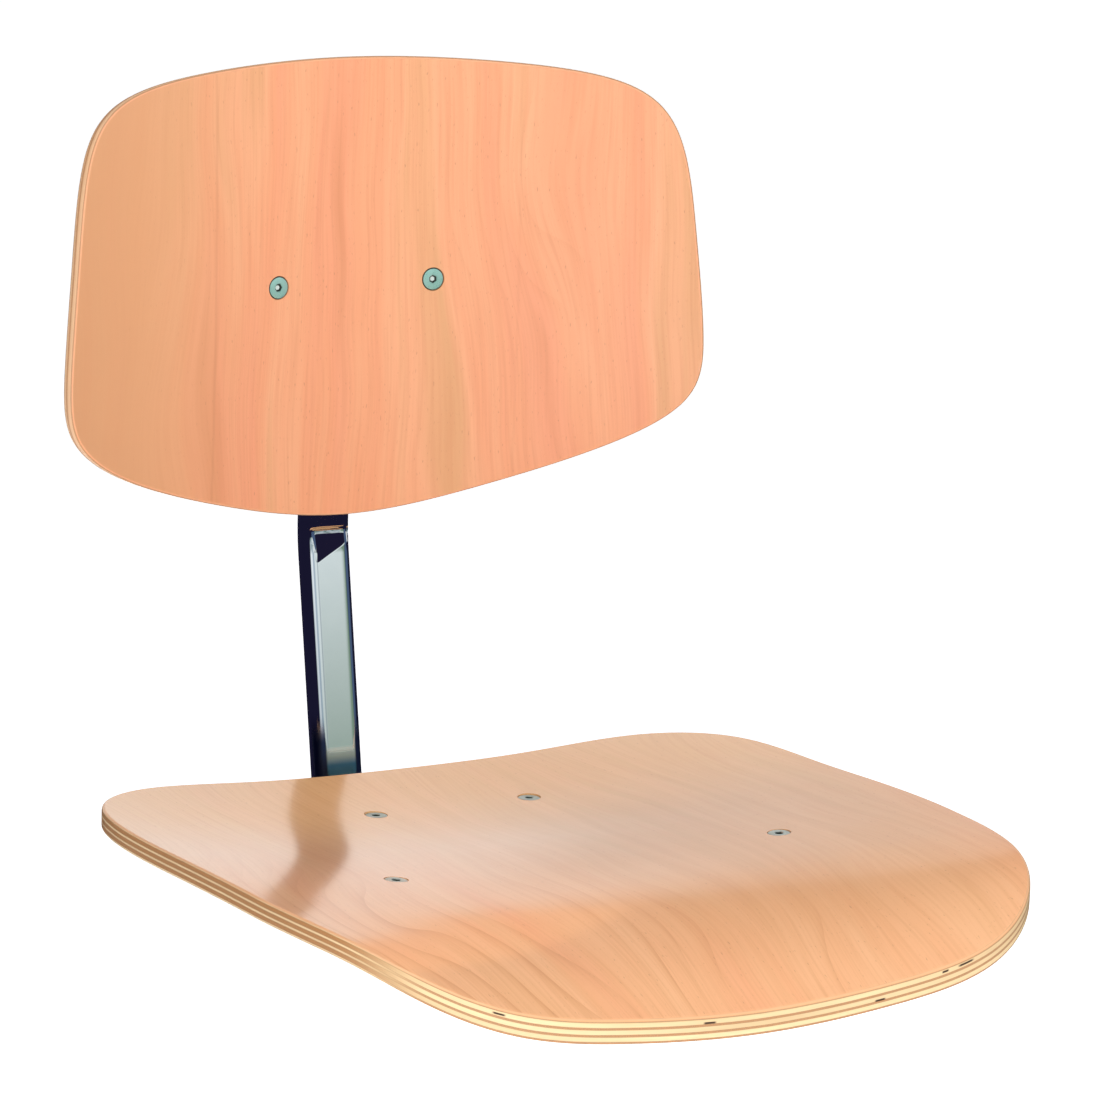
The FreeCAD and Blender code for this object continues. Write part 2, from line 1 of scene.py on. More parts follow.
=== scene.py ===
import bpy, bmesh, json, math
from mathutils import Vector, Matrix


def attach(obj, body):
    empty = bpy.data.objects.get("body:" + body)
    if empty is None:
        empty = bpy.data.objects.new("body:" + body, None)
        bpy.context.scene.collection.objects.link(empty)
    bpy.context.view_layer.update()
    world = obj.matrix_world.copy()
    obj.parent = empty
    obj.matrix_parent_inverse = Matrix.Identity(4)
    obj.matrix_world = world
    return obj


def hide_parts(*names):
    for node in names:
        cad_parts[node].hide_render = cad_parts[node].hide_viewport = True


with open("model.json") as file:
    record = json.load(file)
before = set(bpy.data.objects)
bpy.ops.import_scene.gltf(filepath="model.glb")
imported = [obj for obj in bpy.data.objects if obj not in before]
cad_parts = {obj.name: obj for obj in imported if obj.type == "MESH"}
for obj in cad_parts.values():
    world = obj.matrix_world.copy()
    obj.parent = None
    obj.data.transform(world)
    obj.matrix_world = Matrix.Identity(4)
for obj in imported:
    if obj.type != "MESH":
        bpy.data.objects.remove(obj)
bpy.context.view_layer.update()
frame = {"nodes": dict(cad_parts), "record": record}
NODES = frame["nodes"]
scene = bpy.context.scene
MM = 0.001

# ------------------------------------------------------------------ shape of the seat and backrest (mm)
SEAT_TOP_Z = 84.0
SEAT_T = 12.0
SEAT_OUTLINE = [(0.0, 180.9), (87.1, 179.8), (161.4, 175.5), (209.2, 133.0), (219.1, 47.0), (220.0, -68.5),
                (205.1, -171.4), (154.4, -223.0), (82.8, -231.8), (0.0, -233.2)]
SEAT_REAR_Y, SEAT_LENGTH = 180.9, 414.1
SEAT_U = [0.0, 0.12, 0.20, 0.30, 0.42, 0.52, 0.60, 0.66, 0.70, 0.76, 0.82, 0.88, 0.94, 1.0]
SEAT_Z = [2.6, -1.1, -2.6, -1.8, 2.3, 5.6, 7.1, 7.3, 6.8, 4.2, -0.4, -6.6, -15.0, -25.68]
DISH_K = [10.4, 12.8, 13.9, 13.9, 12.5, 11.3, 10.8, 10.9, 11.6, 14.0, 17.5, 20.3, 22.0, 24.3]
REAR_SCREW, FRONT_SCREW = (50.0, 106.9), (120.8, -51.7)
BACK_T = 7.5
BACK_OUTLINE = [(0.0, 135.7), (97.0, 131.0), (168.8, 118.2), (200.2, 86.0), (210.3, 30.4), (216.3, -28.8),
                (208.1, -69.5), (161.5, -98.8), (87.5, -122.5), (0.0, -135.8)]
BACK_R, BACK_RV, BACK_TILT = 394.3, -2776.0, math.radians(0.7)
BACK_Y, BACK_Z = 245.9, 277.0 + SEAT_TOP_Z
BACK_SCREW_U, BACK_SCREW_V = 50.9, 3.46
TUBE_W, TUBE_D = 32.0, 16.0
LEG_Z, LEG_FRONT_Y = SEAT_TOP_Z - 45.0, 45.0
BAR_Y0, BAR_LEAN = 256.48, math.radians(10.246)
LOW_BEND_R, TOP_BEND_R = 34.0, 120.0
TOP_BEND_START_Z, BAR_TOP_Z = SEAT_TOP_Z + 112.0, SEAT_TOP_Z + 338.0


def natural(xs, ys):
    n = len(xs)
    h = [xs[i + 1] - xs[i] for i in range(n - 1)]
    a, b, c, d = [0.0] * n, [1.0] * n, [0.0] * n, [0.0] * n
    for i in range(1, n - 1):
        a[i], b[i], c[i] = h[i - 1], 2 * (h[i - 1] + h[i]), h[i]
        d[i] = 6 * ((ys[i + 1] - ys[i]) / h[i] - (ys[i] - ys[i - 1]) / h[i - 1])
    for i in range(1, n):
        w = a[i] / b[i - 1]
        b[i] -= w * c[i - 1]
        d[i] -= w * d[i - 1]
    m = [0.0] * n
    m[-1] = d[-1] / b[-1]
    for i in range(n - 2, -1, -1):
        m[i] = (d[i] - c[i] * m[i + 1]) / b[i]

    def f(x):
        if x <= xs[0]:
            return ys[0] + ((ys[1] - ys[0]) / h[0] - h[0] * (2 * m[0] + m[1]) / 6) * (x - xs[0])
        if x >= xs[-1]:
            return ys[-1] + ((ys[-1] - ys[-2]) / h[-1] + h[-1] * (m[-2] + 2 * m[-1]) / 6) * (x - xs[-1])
        i = max(k for k in range(n - 1) if xs[k] <= x)
        t = x - xs[i]
        s = (ys[i + 1] - ys[i]) / h[i] - h[i] * (2 * m[i] + m[i + 1]) / 6
        return ys[i] + s * t + m[i] / 2 * t * t + (m[i + 1] - m[i]) / (6 * h[i]) * t ** 3
    return f


def periodic(points, per):
    """Closed cubic spline through points, one parameter step each, sampled per times a step."""
    n = len(points)

    def solve(vals):
        # cyclic tridiagonal (1, 4, 1) by plain iteration, which converges fast
        m = [0.0] * n
        for _ in range(60):
            m = [(6 * (vals[(i + 1) % n] - 2 * vals[i] + vals[i - 1]) - m[i - 1] - m[(i + 1) % n]) / 4 for i in range(n)]
        return m
    xs, ys = [p[0] for p in points], [p[1] for p in points]
    mx, my = solve(xs), solve(ys)
    out = []
    for i in range(n):
        j = (i + 1) % n
        for k in range(per):
            t = k / per
            r = 1 - t
            f = lambda v, m: (r * v[i] + t * v[j] + ((r ** 3 - r) * m[i] + (t ** 3 - t) * m[j]) / 6)
            out.append((f(xs, mx), f(ys, my)))
    return out


def resample(pts, count):
    n = len(pts)
    d = [0.0]
    for i in range(n):
        a, b = pts[i], pts[(i + 1) % n]
        d.append(d[-1] + math.hypot(b[0] - a[0], b[1] - a[1]))
    out, k = [], 0
    for i in range(count):
        t = d[-1] * i / count
        while d[k + 1] < t:
            k += 1
        f = (t - d[k]) / (d[k + 1] - d[k])
        a, b = pts[k], pts[(k + 1) % n]
        out.append((a[0] + (b[0] - a[0]) * f, a[1] + (b[1] - a[1]) * f))
    return out, d[-1]


def full(half):
    return half + [(-x, y) for x, y in half[-2:0:-1]]


seat_profile, seat_dish = natural(SEAT_U, SEAT_Z), natural(SEAT_U, DISH_K)


def seat_at(x, y):
    u = (SEAT_REAR_Y - y) / SEAT_LENGTH
    return Vector((x, y, SEAT_TOP_Z + seat_profile(u) + seat_dish(u) * (x / 200.0) ** 2))


def back_at(u, v):
    th = u / BACK_R
    fwd = BACK_R * (1 - math.cos(th)) + 0.5 * v * v / BACK_RV
    x, ly = BACK_R * math.sin(th), -fwd
    c, s = math.cos(BACK_TILT), math.sin(BACK_TILT)
    return Vector((x, ly * c + v * s + BACK_Y, -ly * s + v * c + BACK_Z))


def normal_of(surf, a, b, flip):
    e = 0.25
    n = (surf(a + e, b) - surf(a - e, b)).cross(surf(a, b + e) - surf(a, b - e)).normalized()
    return -n if flip else n


# ------------------------------------------------------------------ mesh helpers
def new_object(name, verts, faces, mats=(), smooth=True):
    me = bpy.data.meshes.new(name)
    me.from_pydata([tuple(v) for v in verts], [], faces)
    me.update()
    for m in mats:
        me.materials.append(m)
    if smooth:
        me.polygons.foreach_set("use_smooth", [True] * len(me.polygons))
    o = bpy.data.objects.new(name, me)
    scene.collection.objects.link(o)
    return o


def moulded_ply(name, surf, flip, outline, centre, thick, r_top, r_bot, count, mats, plumb=None):
    """Bent plywood panel: rings over the face, a rounded and sanded edge, rings over the back.
    Stores how deep each point lies in the plies and how far along the rim it is."""
    pts, length = resample(outline, count)
    n = len(pts)
    out2 = []
    for i in range(n):
        a, b = pts[i - 1], pts[(i + 1) % n]
        t = Vector((b[0] - a[0], b[1] - a[1])).normalized()
        o = Vector((t.y, -t.x))
        if o.dot(Vector(pts[i]) - Vector(centre)) < 0:
            o = -o
        out2.append(o)
    c = Vector(centre)
    verts, depth, rim, kind = [], [], [], []
    rows = []

    def add_row(points, d, k):
        start = len(verts)
        for i, p in enumerate(points):
            verts.append(p * MM)
            depth.append(d[i] if isinstance(d, list) else d)
            rim.append(length * i / n * MM)
            kind.append(k)
        rows.append(list(range(start, start + n)))

    rings = [0.06, 0.14, 0.23, 0.33, 0.43, 0.53, 0.62, 0.70, 0.77, 0.83, 0.88, 0.92, 0.95, 0.975, 0.99]
    inset = [Vector(p) - o * r_top for p, o in zip(pts, out2)]
    for s in rings:
        add_row([surf(*(c + (q - c) * s)) for q in inset], 0.0, 0)
    N, M, S = [], [], []
    for q, o in zip(inset, out2):
        nn = normal_of(surf, q.x, q.y, flip)
        a, b = surf(*(q + o * 0.25)), surf(*(q - o * 0.25))
        m = (a - b).normalized()
        N.append(nn)
        M.append((m - nn * m.dot(nn)).normalized())
        S.append(surf(q.x, q.y))
    # the rim is cut square to the face, or straight down where plumb names a direction
    E = [nn if plumb is None else plumb / plumb.dot(nn) for nn in N]
    prof = [(0.0, 0.0)]
    for k in range(1, 7):
        f = math.pi / 2 * k / 6
        prof.append((r_top * math.sin(f), r_top * (1 - math.cos(f))))
    for k in range(1, 8):
        prof.append((r_top, r_top + (thick - r_top - r_bot) * k / 8))
    for k in range(0, 7):
        f = math.pi / 2 * k / 6
        prof.append((r_top - r_bot * (1 - math.cos(f)), thick - r_bot + r_bot * math.sin(f)))
    for j, (a, b) in enumerate(prof):
        add_row([S[i] + M[i] * a - E[i] * b for i in range(n)], b / thick, 1)
    first_edge = len(rings)
    last_edge = first_edge + len(prof) - 1
    low = [Vector(q) + o * (r_top - r_bot) for q, o in zip(inset, out2)]
    for s in reversed(rings):
        add_row([surf(*(c + (q - c) * s)) - normal_of(surf, *(c + (q - c) * s), flip) * thick for q in low], 1.0, 2)
    faces, mat = [], []
    for r in range(len(rows) - 1):
        for i in range(n):
            j = (i + 1) % n
            faces.append((rows[r][i], rows[r][j], rows[r + 1][j], rows[r + 1][i]))
            mat.append(1 if first_edge + 1 <= r < last_edge else 0)
    top = len(verts)
    verts.append(surf(*c) * MM)
    depth.append(0.0)
    rim.append(0.0)
    bot = len(verts)
    verts.append((surf(*c) - normal_of(surf, c.x, c.y, flip) * thick) * MM)
    depth.append(1.0)
    rim.append(0.0)
    for i in range(n):
        j = (i + 1) % n
        faces.append((rows[0][j], rows[0][i], top))
        mat.append(0)
        faces.append((rows[-1][i], rows[-1][j], bot))
        mat.append(0)
    o = new_object(name, verts, faces, mats)
    me = o.data
    at = me.attributes.new("ply", "FLOAT", "POINT")
    at.data.foreach_set("value", depth)
    at = me.attributes.new("rim", "FLOAT", "POINT")
    at.data.foreach_set("value", rim)
    me.polygons.foreach_set("material_index", mat)
    bm = bmesh.new()
    bm.from_mesh(me)
    bmesh.ops.recalc_face_normals(bm, faces=bm.faces)
    bm.to_mesh(me)
    bm.free()
    return o


def lathe(profile, top, axis, seg, verts, faces):
    """Adds a turned shape. profile is (radius, distance along axis) from the face outwards."""
    z = axis.normalized()
    x = z.orthogonal().normalized()
    y = z.cross(x)
    rows = []
    for r, h in profile:
        if r < 1e-6:
            rows.append([len(verts)])
            verts.append((top + z * h) * MM)
            continue
        rows.append(list(range(len(verts), len(verts) + seg)))
        for k in range(seg):
            t = 2 * math.pi * k / seg
            verts.append((top + z * h + x * (r * math.cos(t)) + y * (r * math.sin(t))) * MM)
    for a, b in zip(rows, rows[1:]):
        for k in range(seg):
            j = (k + 1) % seg
            if len(a) == 1:
                faces.append((a[0], b[j], b[k]))
            elif len(b) == 1:
                faces.append((a[k], a[j], b[0]))
            else:
                faces.append((a[k], a[j], b[j], b[k]))


def hex_ring(r_in, k, seg):
    """Radius of a hexagon with that inscribed radius at step k of seg."""
    t = (2 * math.pi * k / seg) % (math.pi / 3) - math.pi / 6
    return r_in / math.cos(t)


def socket_screw(top, axis, head_r, shank_r, length, dome, verts, faces, turn=0.0, mats=None):
    """Countersunk head with a slightly domed, chamfered face and a hexagon socket, seg a multiple of six."""
    seg = 72
    z = axis.normalized()
    x = z.orthogonal().normalized()
    y = z.cross(x)
    rows = []
    af = head_r * 0.31
    spec = []                       # (mode, radius, depth)
    spec.append(("pt", 0.0, 1.55))
    spec.append(("hex", af * 0.35, 1.50))
    spec.append(("hex", af * 0.62, 1.38))
    spec.append(("hex", af, 1.2))
    spec.append(("hex", af, 0.45))
    spec.append(("hex", af + 0.10, 0.28))
    spec.append(("cir", af * 1.32, 0.02 - dome))
    spec.append(("cir", head_r * 0.62, -dome * 0.86))
    spec.append(("cir", head_r * 0.80, -dome * 0.55))
    spec.append(("cir", head_r * 0.92, -dome * 0.18))
    spec.append(("cir", head_r * 0.975, 0.12))
    spec.append(("cir", head_r, 0.42))
    spec.append(("cir", head_r, 0.75))
    spec.append(("cir", shank_r + 0.3, 0.75 + head_r - shank_r - 0.3))
    spec.append(("cir", shank_r, 1.2 + head_r - shank_r))
    spec.append(("cir", shank_r, length - 0.8))
    spec.append(("cir", shank_r - 0.7, length))
    spec.append(("pt", 0.0, length))
    for mode, r, h in spec:
        if mode == "pt":
            rows.append([len(verts)])
            verts.append((top + z * h) * MM)
            continue
        rows.append(list(range(len(verts), len(verts) + seg)))
        for k in range(seg):
            t = 2 * math.pi * k / seg
            rr = hex_ring(r, k, seg) if mode == "hex" else r
            verts.append((top + z * h + x * (rr * math.cos(t + turn)) + y * (rr * math.sin(t + turn))) * MM)
    for r, (a, b) in enumerate(zip(rows, rows[1:])):
        for k in range(seg):
            j = (k + 1) % seg
            if len(a) == 1:
                faces.append((a[0], b[j], b[k]))
            elif len(b) == 1:
                faces.append((a[k], a[j], b[0]))
            else:
                faces.append((a[k], a[j], b[j], b[k]))
            if mats is not None:
                # material 2 on the socket bottom is a painted highlight; material 1 on the socket walls and on the
                # outer ring and side of the head is painted shade
                mats.append(2 if r < 2 else 1 if r < 5 or 9 <= r <= 11 else 0)


def tidy(o, angle=35.0):
    bm = bmesh.new()
    bm.from_mesh(o.data)
    bmesh.ops.recalc_face_normals(bm, faces=bm.faces)
    for e in bm.edges:
        if len(e.link_faces) == 2 and e.calc_face_angle(0.0) > math.radians(angle):
            e.smooth = False
    bm.to_mesh(o.data)
    bm.free()


# ------------------------------------------------------------------ materials
class Tree:
    def __init__(self, name):
        self.m = bpy.data.materials.new(name)
        self.m.use_nodes = True
        self.t = self.m.node_tree
        self.t.nodes.clear()
        self.out = self.t.nodes.new("ShaderNodeOutputMaterial")
        self.b = self.t.nodes.new("ShaderNodeBsdfPrincipled")
        self.t.links.new(self.b.outputs[0], self.out.inputs[0])

    def n(self, kind, **props):
        nd = self.t.nodes.new("ShaderNode" + kind)
        for k, v in props.items():
            setattr(nd, k, v)
        return nd

    def put(self, sock, v):
        if isinstance(v, bpy.types.NodeSocket):
            self.t.links.new(v, sock)
        else:
            sock.default_value = v

    def math(self, op, a, b=None, c=None, clamp=False):
        nd = self.n("Math", operation=op, use_clamp=clamp)
        for i, v in enumerate((a, b, c)):
            if v is not None:
                self.put(nd.inputs[i], v)
        return nd.outputs[0]

    def combine(self, x, y, z):
        nd = self.n("CombineXYZ")
        for i, v in enumerate((x, y, z)):
            self.put(nd.inputs[i], v)
        return nd.outputs[0]

    def noise(self, vec, scale, detail=2.0, rough=0.5, distort=0.0, w=None):
        nd = self.n("TexNoise", noise_dimensions="3D")
        self.put(nd.inputs["Vector"], vec)
        nd.inputs["Scale"].default_value = scale
        nd.inputs["Detail"].default_value = detail
        nd.inputs["Roughness"].default_value = rough
        nd.inputs["Distortion"].default_value = distort
        return nd.outputs["Fac"]

    def ramp(self, fac, stops, interp="LINEAR"):
        nd = self.n("ValToRGB")
        nd.color_ramp.interpolation = interp
        el = nd.color_ramp.elements
        while len(el) < len(stops):
            el.new(0.5)
        for e, (p, c) in zip(el, stops):
            e.position = p
            e.color = (*c, 1.0) if len(c) == 3 else c
        self.put(nd.inputs[0], fac)
        return nd.outputs[0]

    def mix(self, fac, a, b, mode="MIX"):
        nd = self.n("Mix", data_type="RGBA", blend_type=mode)
        self.put(nd.inputs[0], fac)
        for sock, v in ((nd.inputs[6], a), (nd.inputs[7], b)):
            if isinstance(v, tuple):
                sock.default_value = (*v, 1.0) if len(v) == 3 else v
            else:
                self.put(sock, v)
        return nd.outputs[2]

    def maprange(self, v, a, b, c, d, smooth=False):
        nd = self.n("MapRange", interpolation_type="SMOOTHSTEP" if smooth else "LINEAR")
        self.put(nd.inputs[0], v)
        for i, x in enumerate((a, b, c, d)):
            nd.inputs[i + 1].default_value = x
        return nd.outputs[0]

    def bump(self, height, strength, dist, normal=None):
        nd = self.n("Bump")
        nd.inputs["Strength"].default_value = strength
        nd.inputs["Distance"].default_value = dist
        self.put(nd.inputs["Height"], height)
        if normal is not None:
            self.put(nd.inputs["Normal"], normal)
        return nd.outputs[0]

    def object_xyz(self):
        tc = self.n("TexCoord")
        sp = self.n("SeparateXYZ")
        self.t.links.new(tc.outputs["Object"], sp.inputs[0])
        return sp.outputs[0], sp.outputs[1], sp.outputs[2]

    def attr(self, name):
        nd = self.n("Attribute", attribute_name=name)
        return nd.outputs["Fac"]


def beech(name, across, along, seed, base, joins, coat_rough, drift=(), line_amount=0.42, gates=(0.48, 0.66), fade=None, cloud=None,
          stops=(0.20, 0.40, 0.56, 0.72, 0.90)):
    """Rotary and sliced beech veneer under clear lacquer. across and along are built from the object's own frame."""
    t = Tree(name)
    x, y, z = t.object_xyz()
    a, l = across(t, x, y, z), along(t, x, y, z)
    light, mid, dark, pink, tan = base
    # slow sway of the grain lines
    sway = t.noise(t.combine(t.math("MULTIPLY", a, 5.0), t.math("MULTIPLY", l, 2.6), seed), 1.6, 1.2, 0.45)
    aw = t.math("ADD", a, t.math("MULTIPLY", t.math("SUBTRACT", sway, 0.5), 0.085))
    # broad figure: soft streaks a few centimetres wide that run the length of the sheet
    broad = t.noise(t.combine(t.math("MULTIPLY", aw, 26.0), t.math("MULTIPLY", l, 2.2), seed + 3.1), 1.0, 3.0, 0.55, 0.35)
    mids = t.noise(t.combine(t.math("MULTIPLY", aw, 90.0), t.math("MULTIPLY", l, 4.0), seed + 7.7), 1.0, 2.0, 0.5, 0.2)
    fine = t.noise(t.combine(t.math("MULTIPLY", aw, 700.0), t.math("MULTIPLY", l, 14.0), seed + 1.3), 1.0, 2.0, 0.55)
    pores = t.noise(t.combine(t.math("MULTIPLY", a, 2300.0), t.math("MULTIPLY", l, 190.0), seed + 9.0), 1.0, 1.0, 0.5)
    fleck = t.noise(t.combine(t.math("MULTIPLY", a, 950.0), t.math("MULTIPLY", l, 260.0), seed + 5.0), 1.0, 1.0, 0.5)
    col = t.ramp(broad, [(p, c) for p, c in zip(stops, (tan, light, mid, pink, dark))])
    # curved growth lines, thin and darker on one side
    ring = t.math("ADD", t.math("MULTIPLY", aw, 58.0), t.math("MULTIPLY", t.math("SUBTRACT", sway, 0.5), 5.0))
    saw = t.math("FRACT", ring)
    line = t.math("POWER", saw, 5.0)
    gate = t.maprange(t.noise(t.combine(t.math("MULTIPLY", aw, 9.0), t.math("MULTIPLY", l, 3.5), seed + 2.0), 1.0, 2.0), gates[0], gates[1], 0.0, 1.0, True)
    lines = t.math("MULTIPLY", line, gate)
    if fade:
        lines = t.math("MULTIPLY", lines, t.maprange(l, fade[0], fade[1], 1.0, fade[2], True))
    for l0, l1, tone, amount in drift:          # the sheet changes tone along its length
        col = t.mix(t.maprange(l, l0, l1, 0.0, amount, True), col, tone, "MIX")
    if cloud:                                   # painted shade: a darker, greyer patch of the veneer
        a0, l0, r0, r1, tone, amount = cloud
        da, dl = t.math("SUBTRACT", a, a0), t.math("SUBTRACT", l, l0)
        far = t.math("SQRT", t.math("ADD", t.math("MULTIPLY", da, da), t.math("MULTIPLY", dl, dl)))
        col = t.mix(t.maprange(far, r0, r1, amount, 0.0, True), col, tone, "MIX")
    col = t.mix(t.math("MULTIPLY", lines, line_amount), col, dark, "MIX")
    col = t.mix(t.maprange(mids, 0.30, 0.72, 0.0, 0.34, True), col, light, "MIX")
    col = t.mix(t.maprange(fine, 0.42, 0.75, 0.0, 0.26), col, dark, "MIX")
    col = t.mix(t.maprange(fleck, 0.66, 0.80, 0.0, 0.42, True), col, tuple(v * 0.62 for v in dark), "MIX")
    col = t.mix(t.maprange(pores, 0.70, 0.86, 0.0, 0.30, True), col, tuple(v * 0.55 for v in dark), "MIX")
    # sheets of veneer are jointed: a hair line, and a slightly different tone on each side
    for a0, a1, tone, amount, hairs in joins:
        col = t.mix(t.maprange(a, a0, a1, amount, 0.0, True), col, tone, "MIX")
        for pos, hair in hairs:
            near = t.maprange(t.math("ABSOLUTE", t.math("SUBTRACT", a, pos)), 0.0002, 0.0014, hair, 0.0)
            col = t.mix(near, col, tuple(v * 0.85 for v in dark), "MIX")
    # light wear and hand marks in the lacquer
    smudge = t.noise(t.combine(a, l, seed), 11.0, 4.0, 0.6)
    t.put(t.b.inputs["Base Color"], col)
    t.put(t.b.inputs["Roughness"], t.maprange(smudge, 0.25, 0.8, 0.36, 0.47))
    t.b.inputs["IOR"].default_value = 1.45
    t.b.inputs["Specular IOR Level"].default_value = 0.35
    t.b.inputs["Coat Weight"].default_value = 1.0
    t.b.inputs["Coat Roughness"].default_value = coat_rough
    t.b.inputs["Coat IOR"].default_value = 1.5
    h = t.math("ADD", t.math("MULTIPLY", fine, 0.7), t.math("MULTIPLY", pores, 0.5))
    t.put(t.b.inputs["Normal"], t.bump(h, 0.10, 0.0004))
    orange = t.noise(t.combine(a, l, seed + 4.0), 150.0, 2.0, 0.5)
    t.put(t.b.inputs["Coat Normal"], t.bump(orange, 0.05, 0.0004))
    return t.m


def ply_edge(name, plies, thick, seed, cream, brown, skin, side=None, side_brown=None, voids=()):
    """Sanded plywood edge: end-grain and long-grain plies in turn, thin glue lines and a few voids."""
    t = Tree(name)
    x, y, z = t.object_xyz()
    d, s = t.attr("ply"), t.attr("rim")
    wav = t.noise(t.combine(t.math("MULTIPLY", s, 9.0), 0.0, seed), 1.0, 3.0, 0.55)
    wav2 = t.noise(t.combine(t.math("MULTIPLY", s, 60.0), t.math("MULTIPLY", d, 3.0), seed + 5.0), 1.0, 2.0, 0.55)
    dd = t.math("ADD", d, t.math("ADD", t.math("MULTIPLY", t.math("SUBTRACT", wav, 0.5), 0.035),
                                 t.math("MULTIPLY", t.math("SUBTRACT", wav2, 0.5), 0.018)))
    k = t.math("MULTIPLY", dd, plies / 2.0)
    idx = t.math("FLOOR", k)
    fr = t.math("FRACT", k)
    odd = t.maprange(fr, 0.30, 0.38, 0.0, 1.0)
    if side:
        # round the corner the plies change over: end grain turns into long grain and back
        flank = t.maprange(t.math("ABSOLUTE", x), side[0], side[1], 0.0, 1.0, True)
        odd = t.math("ADD", t.math("MULTIPLY", odd, t.math("SUBTRACT", 1.0, flank)),
                     t.math("MULTIPLY", t.math("SUBTRACT", 1.0, odd), flank))
    # long grain shows streaks along the rim, end grain is speckled
    streak = t.noise(t.combine(t.math("MULTIPLY", s, 28.0), t.math("MULTIPLY", d, 70.0), t.math("MULTIPLY", idx, 3.7)), 1.0, 3.0, 0.6)
    speck = t.noise(t.combine(t.math("MULTIPLY", s, 1500.0), t.math("MULTIPLY", d, 40.0), t.math("MULTIPLY", idx, 1.9)), 1.0, 2.0, 0.6)
    c1 = t.mix(t.maprange(streak, 0.3, 0.75, 0.0, 1.0), cream, tuple(v * 0.80 for v in cream))
    c2 = t.mix(t.maprange(speck, 0.3, 0.7, 0.0, 1.0), brown, tuple(v * 0.62 for v in brown))
    if side:
        c2 = t.mix(flank, c2, t.mix(t.maprange(speck, 0.3, 0.7, 0.0, 1.0), side_brown, tuple(v * 0.70 for v in side_brown)))
    col = t.mix(odd, c2, c1)
    shade = t.noise(t.combine(t.math("MULTIPLY", s, 6.0), t.math("MULTIPLY", idx, 11.3), seed), 1.0, 2.0, 0.5)
    col = t.mix(t.maprange(shade, 0.3, 0.7, 0.0, 0.35), col, tuple(v * 0.75 for v in brown))
    # the face veneer wraps over the rounded corner
    col = t.mix(t.maprange(d, 0.05, 0.085, 1.0, 0.0), col, skin)
    glue = t.maprange(t.math("MINIMUM", t.math("ABSOLUTE", t.math("SUBTRACT", fr, 0.34)), t.math("MINIMUM", fr, t.math("SUBTRACT", 1.0, fr))), 0.0, 0.05, 0.5, 0.0)
    col = t.mix(glue, col, tuple(v * 0.45 for v in brown))
    vo = t.noise(t.combine(t.math("MULTIPLY", s, 22.0), t.math("MULTIPLY", idx, 7.1), seed + 2.0), 1.0, 1.0)
    gap = t.math("MULTIPLY", t.maprange(vo, 0.745, 0.77, 0.0, 1.0, True), t.maprange(t.math("ABSOLUTE", t.math("SUBTRACT", fr, 0.17)), 0.10, 0.19, 1.0, 0.0))
    for rim, deep, half in voids:               # open spots where a core strip ends
        along = t.maprange(t.math("ABSOLUTE", t.math("SUBTRACT", s, rim)), half * 0.55, half, 1.0, 0.0, True)
        tall = t.maprange(t.math("ABSOLUTE", t.math("SUBTRACT", dd, deep)), 0.025, 0.055, 1.0, 0.0, True)
        gap = t.math("MAXIMUM", gap, t.math("MULTIPLY", along, tall))
    # the open spots are coloured near black: painted shade inside them
    col = t.mix(gap, col, (0.05, 0.022, 0.008))
    t.put(t.b.inputs["Base Color"], col)
    t.put(t.b.inputs["Roughness"], t.maprange(speck, 0.3, 0.7, 0.40, 0.58))
    t.b.inputs["Coat Weight"].default_value = 0.55
    t.b.inputs["Coat Roughness"].default_value = 0.22
    h = t.math("SUBTRACT", t.math("ADD", t.math("MULTIPLY", speck, 0.25), t.math("MULTIPLY", odd, 0.3)), t.math("ADD", t.math("MULTIPLY", gap, 1.2), t.math("MULTIPLY", glue, 0.3)))
    t.put(t.b.inputs["Normal"], t.bump(h, 0.35, 0.0004))
    return t.m


def metal(name, col, rough, spread, bump_scale, bump_str, tint=None, metallic=1.0, stretch=(1, 1, 1), painted_reflection_band=None):
    t = Tree(name)
    x, y, z = t.object_xyz()
    v = t.combine(t.math("MULTIPLY", x, stretch[0]), t.math("MULTIPLY", y, stretch[1]), t.math("MULTIPLY", z, stretch[2]))
    big = t.noise(v, 60.0, 3.0, 0.6)
    fine = t.noise(v, bump_scale, 2.0, 0.6)
    c = t.mix(t.maprange(big, 0.3, 0.7, 0.0, 1.0), col, tint or tuple(k * 0.86 for k in col))
    rr = t.maprange(t.math("ADD", big, fine), 0.6, 1.4, rough, rough + spread)
    if painted_reflection_band:
        z0, z1, z2, z3, tone = painted_reflection_band             # painted reflection: a darker, bluer and rougher band on the front of the bar just above the lower bend, standing in for the shadowed seat rim mirrored there
        nv = t.n("SeparateXYZ")
        t.put(nv.inputs[0], t.n("NewGeometry").outputs["Normal"])
        face = t.maprange(nv.outputs[1], -0.950, -0.978, 0.0, 1.0)
        flank = t.math("SUBTRACT", 1.0, face)
        up = t.math("SUBTRACT", t.math("SUBTRACT", z, z2), t.math("MULTIPLY", flank, 0.008))
        zr = t.math("ADD", t.math("MULTIPLY", up, t.math("SUBTRACT", 1.0, t.math("MULTIPLY", flank, 0.6))), z2)
        rise = t.math("MULTIPLY", t.maprange(z, z0, z1, 0.0, 1.0, True), t.maprange(zr, z2, z3, 1.0, 0.0, True))
        painted_reflection_mask = t.math("MULTIPLY", rise, t.maprange(nv.outputs[1], -0.10, -0.35, 0.0, 1.0))
        # the front face goes blue, turning to a pale tint higher up, and the rounded flanks go dark navy: painted
        # reflection
        plain = t.mix(t.maprange(z, 0.0720, 0.0785, 0.0, 1.0, True), tone, (0.80, 1.0, 0.95))
        c = t.mix(painted_reflection_mask, c, t.mix(face, (0.06, 0.09, 0.20), plain))
        rr = t.math("ADD", rr, t.math("MULTIPLY", painted_reflection_mask, 0.34))
    t.put(t.b.inputs["Base Color"], c)
    t.b.inputs["Metallic"].default_value = metallic
    t.put(t.b.inputs["Roughness"], rr)
    t.put(t.b.inputs["Normal"], t.bump(fine, bump_str, 0.0002))
    return t.m


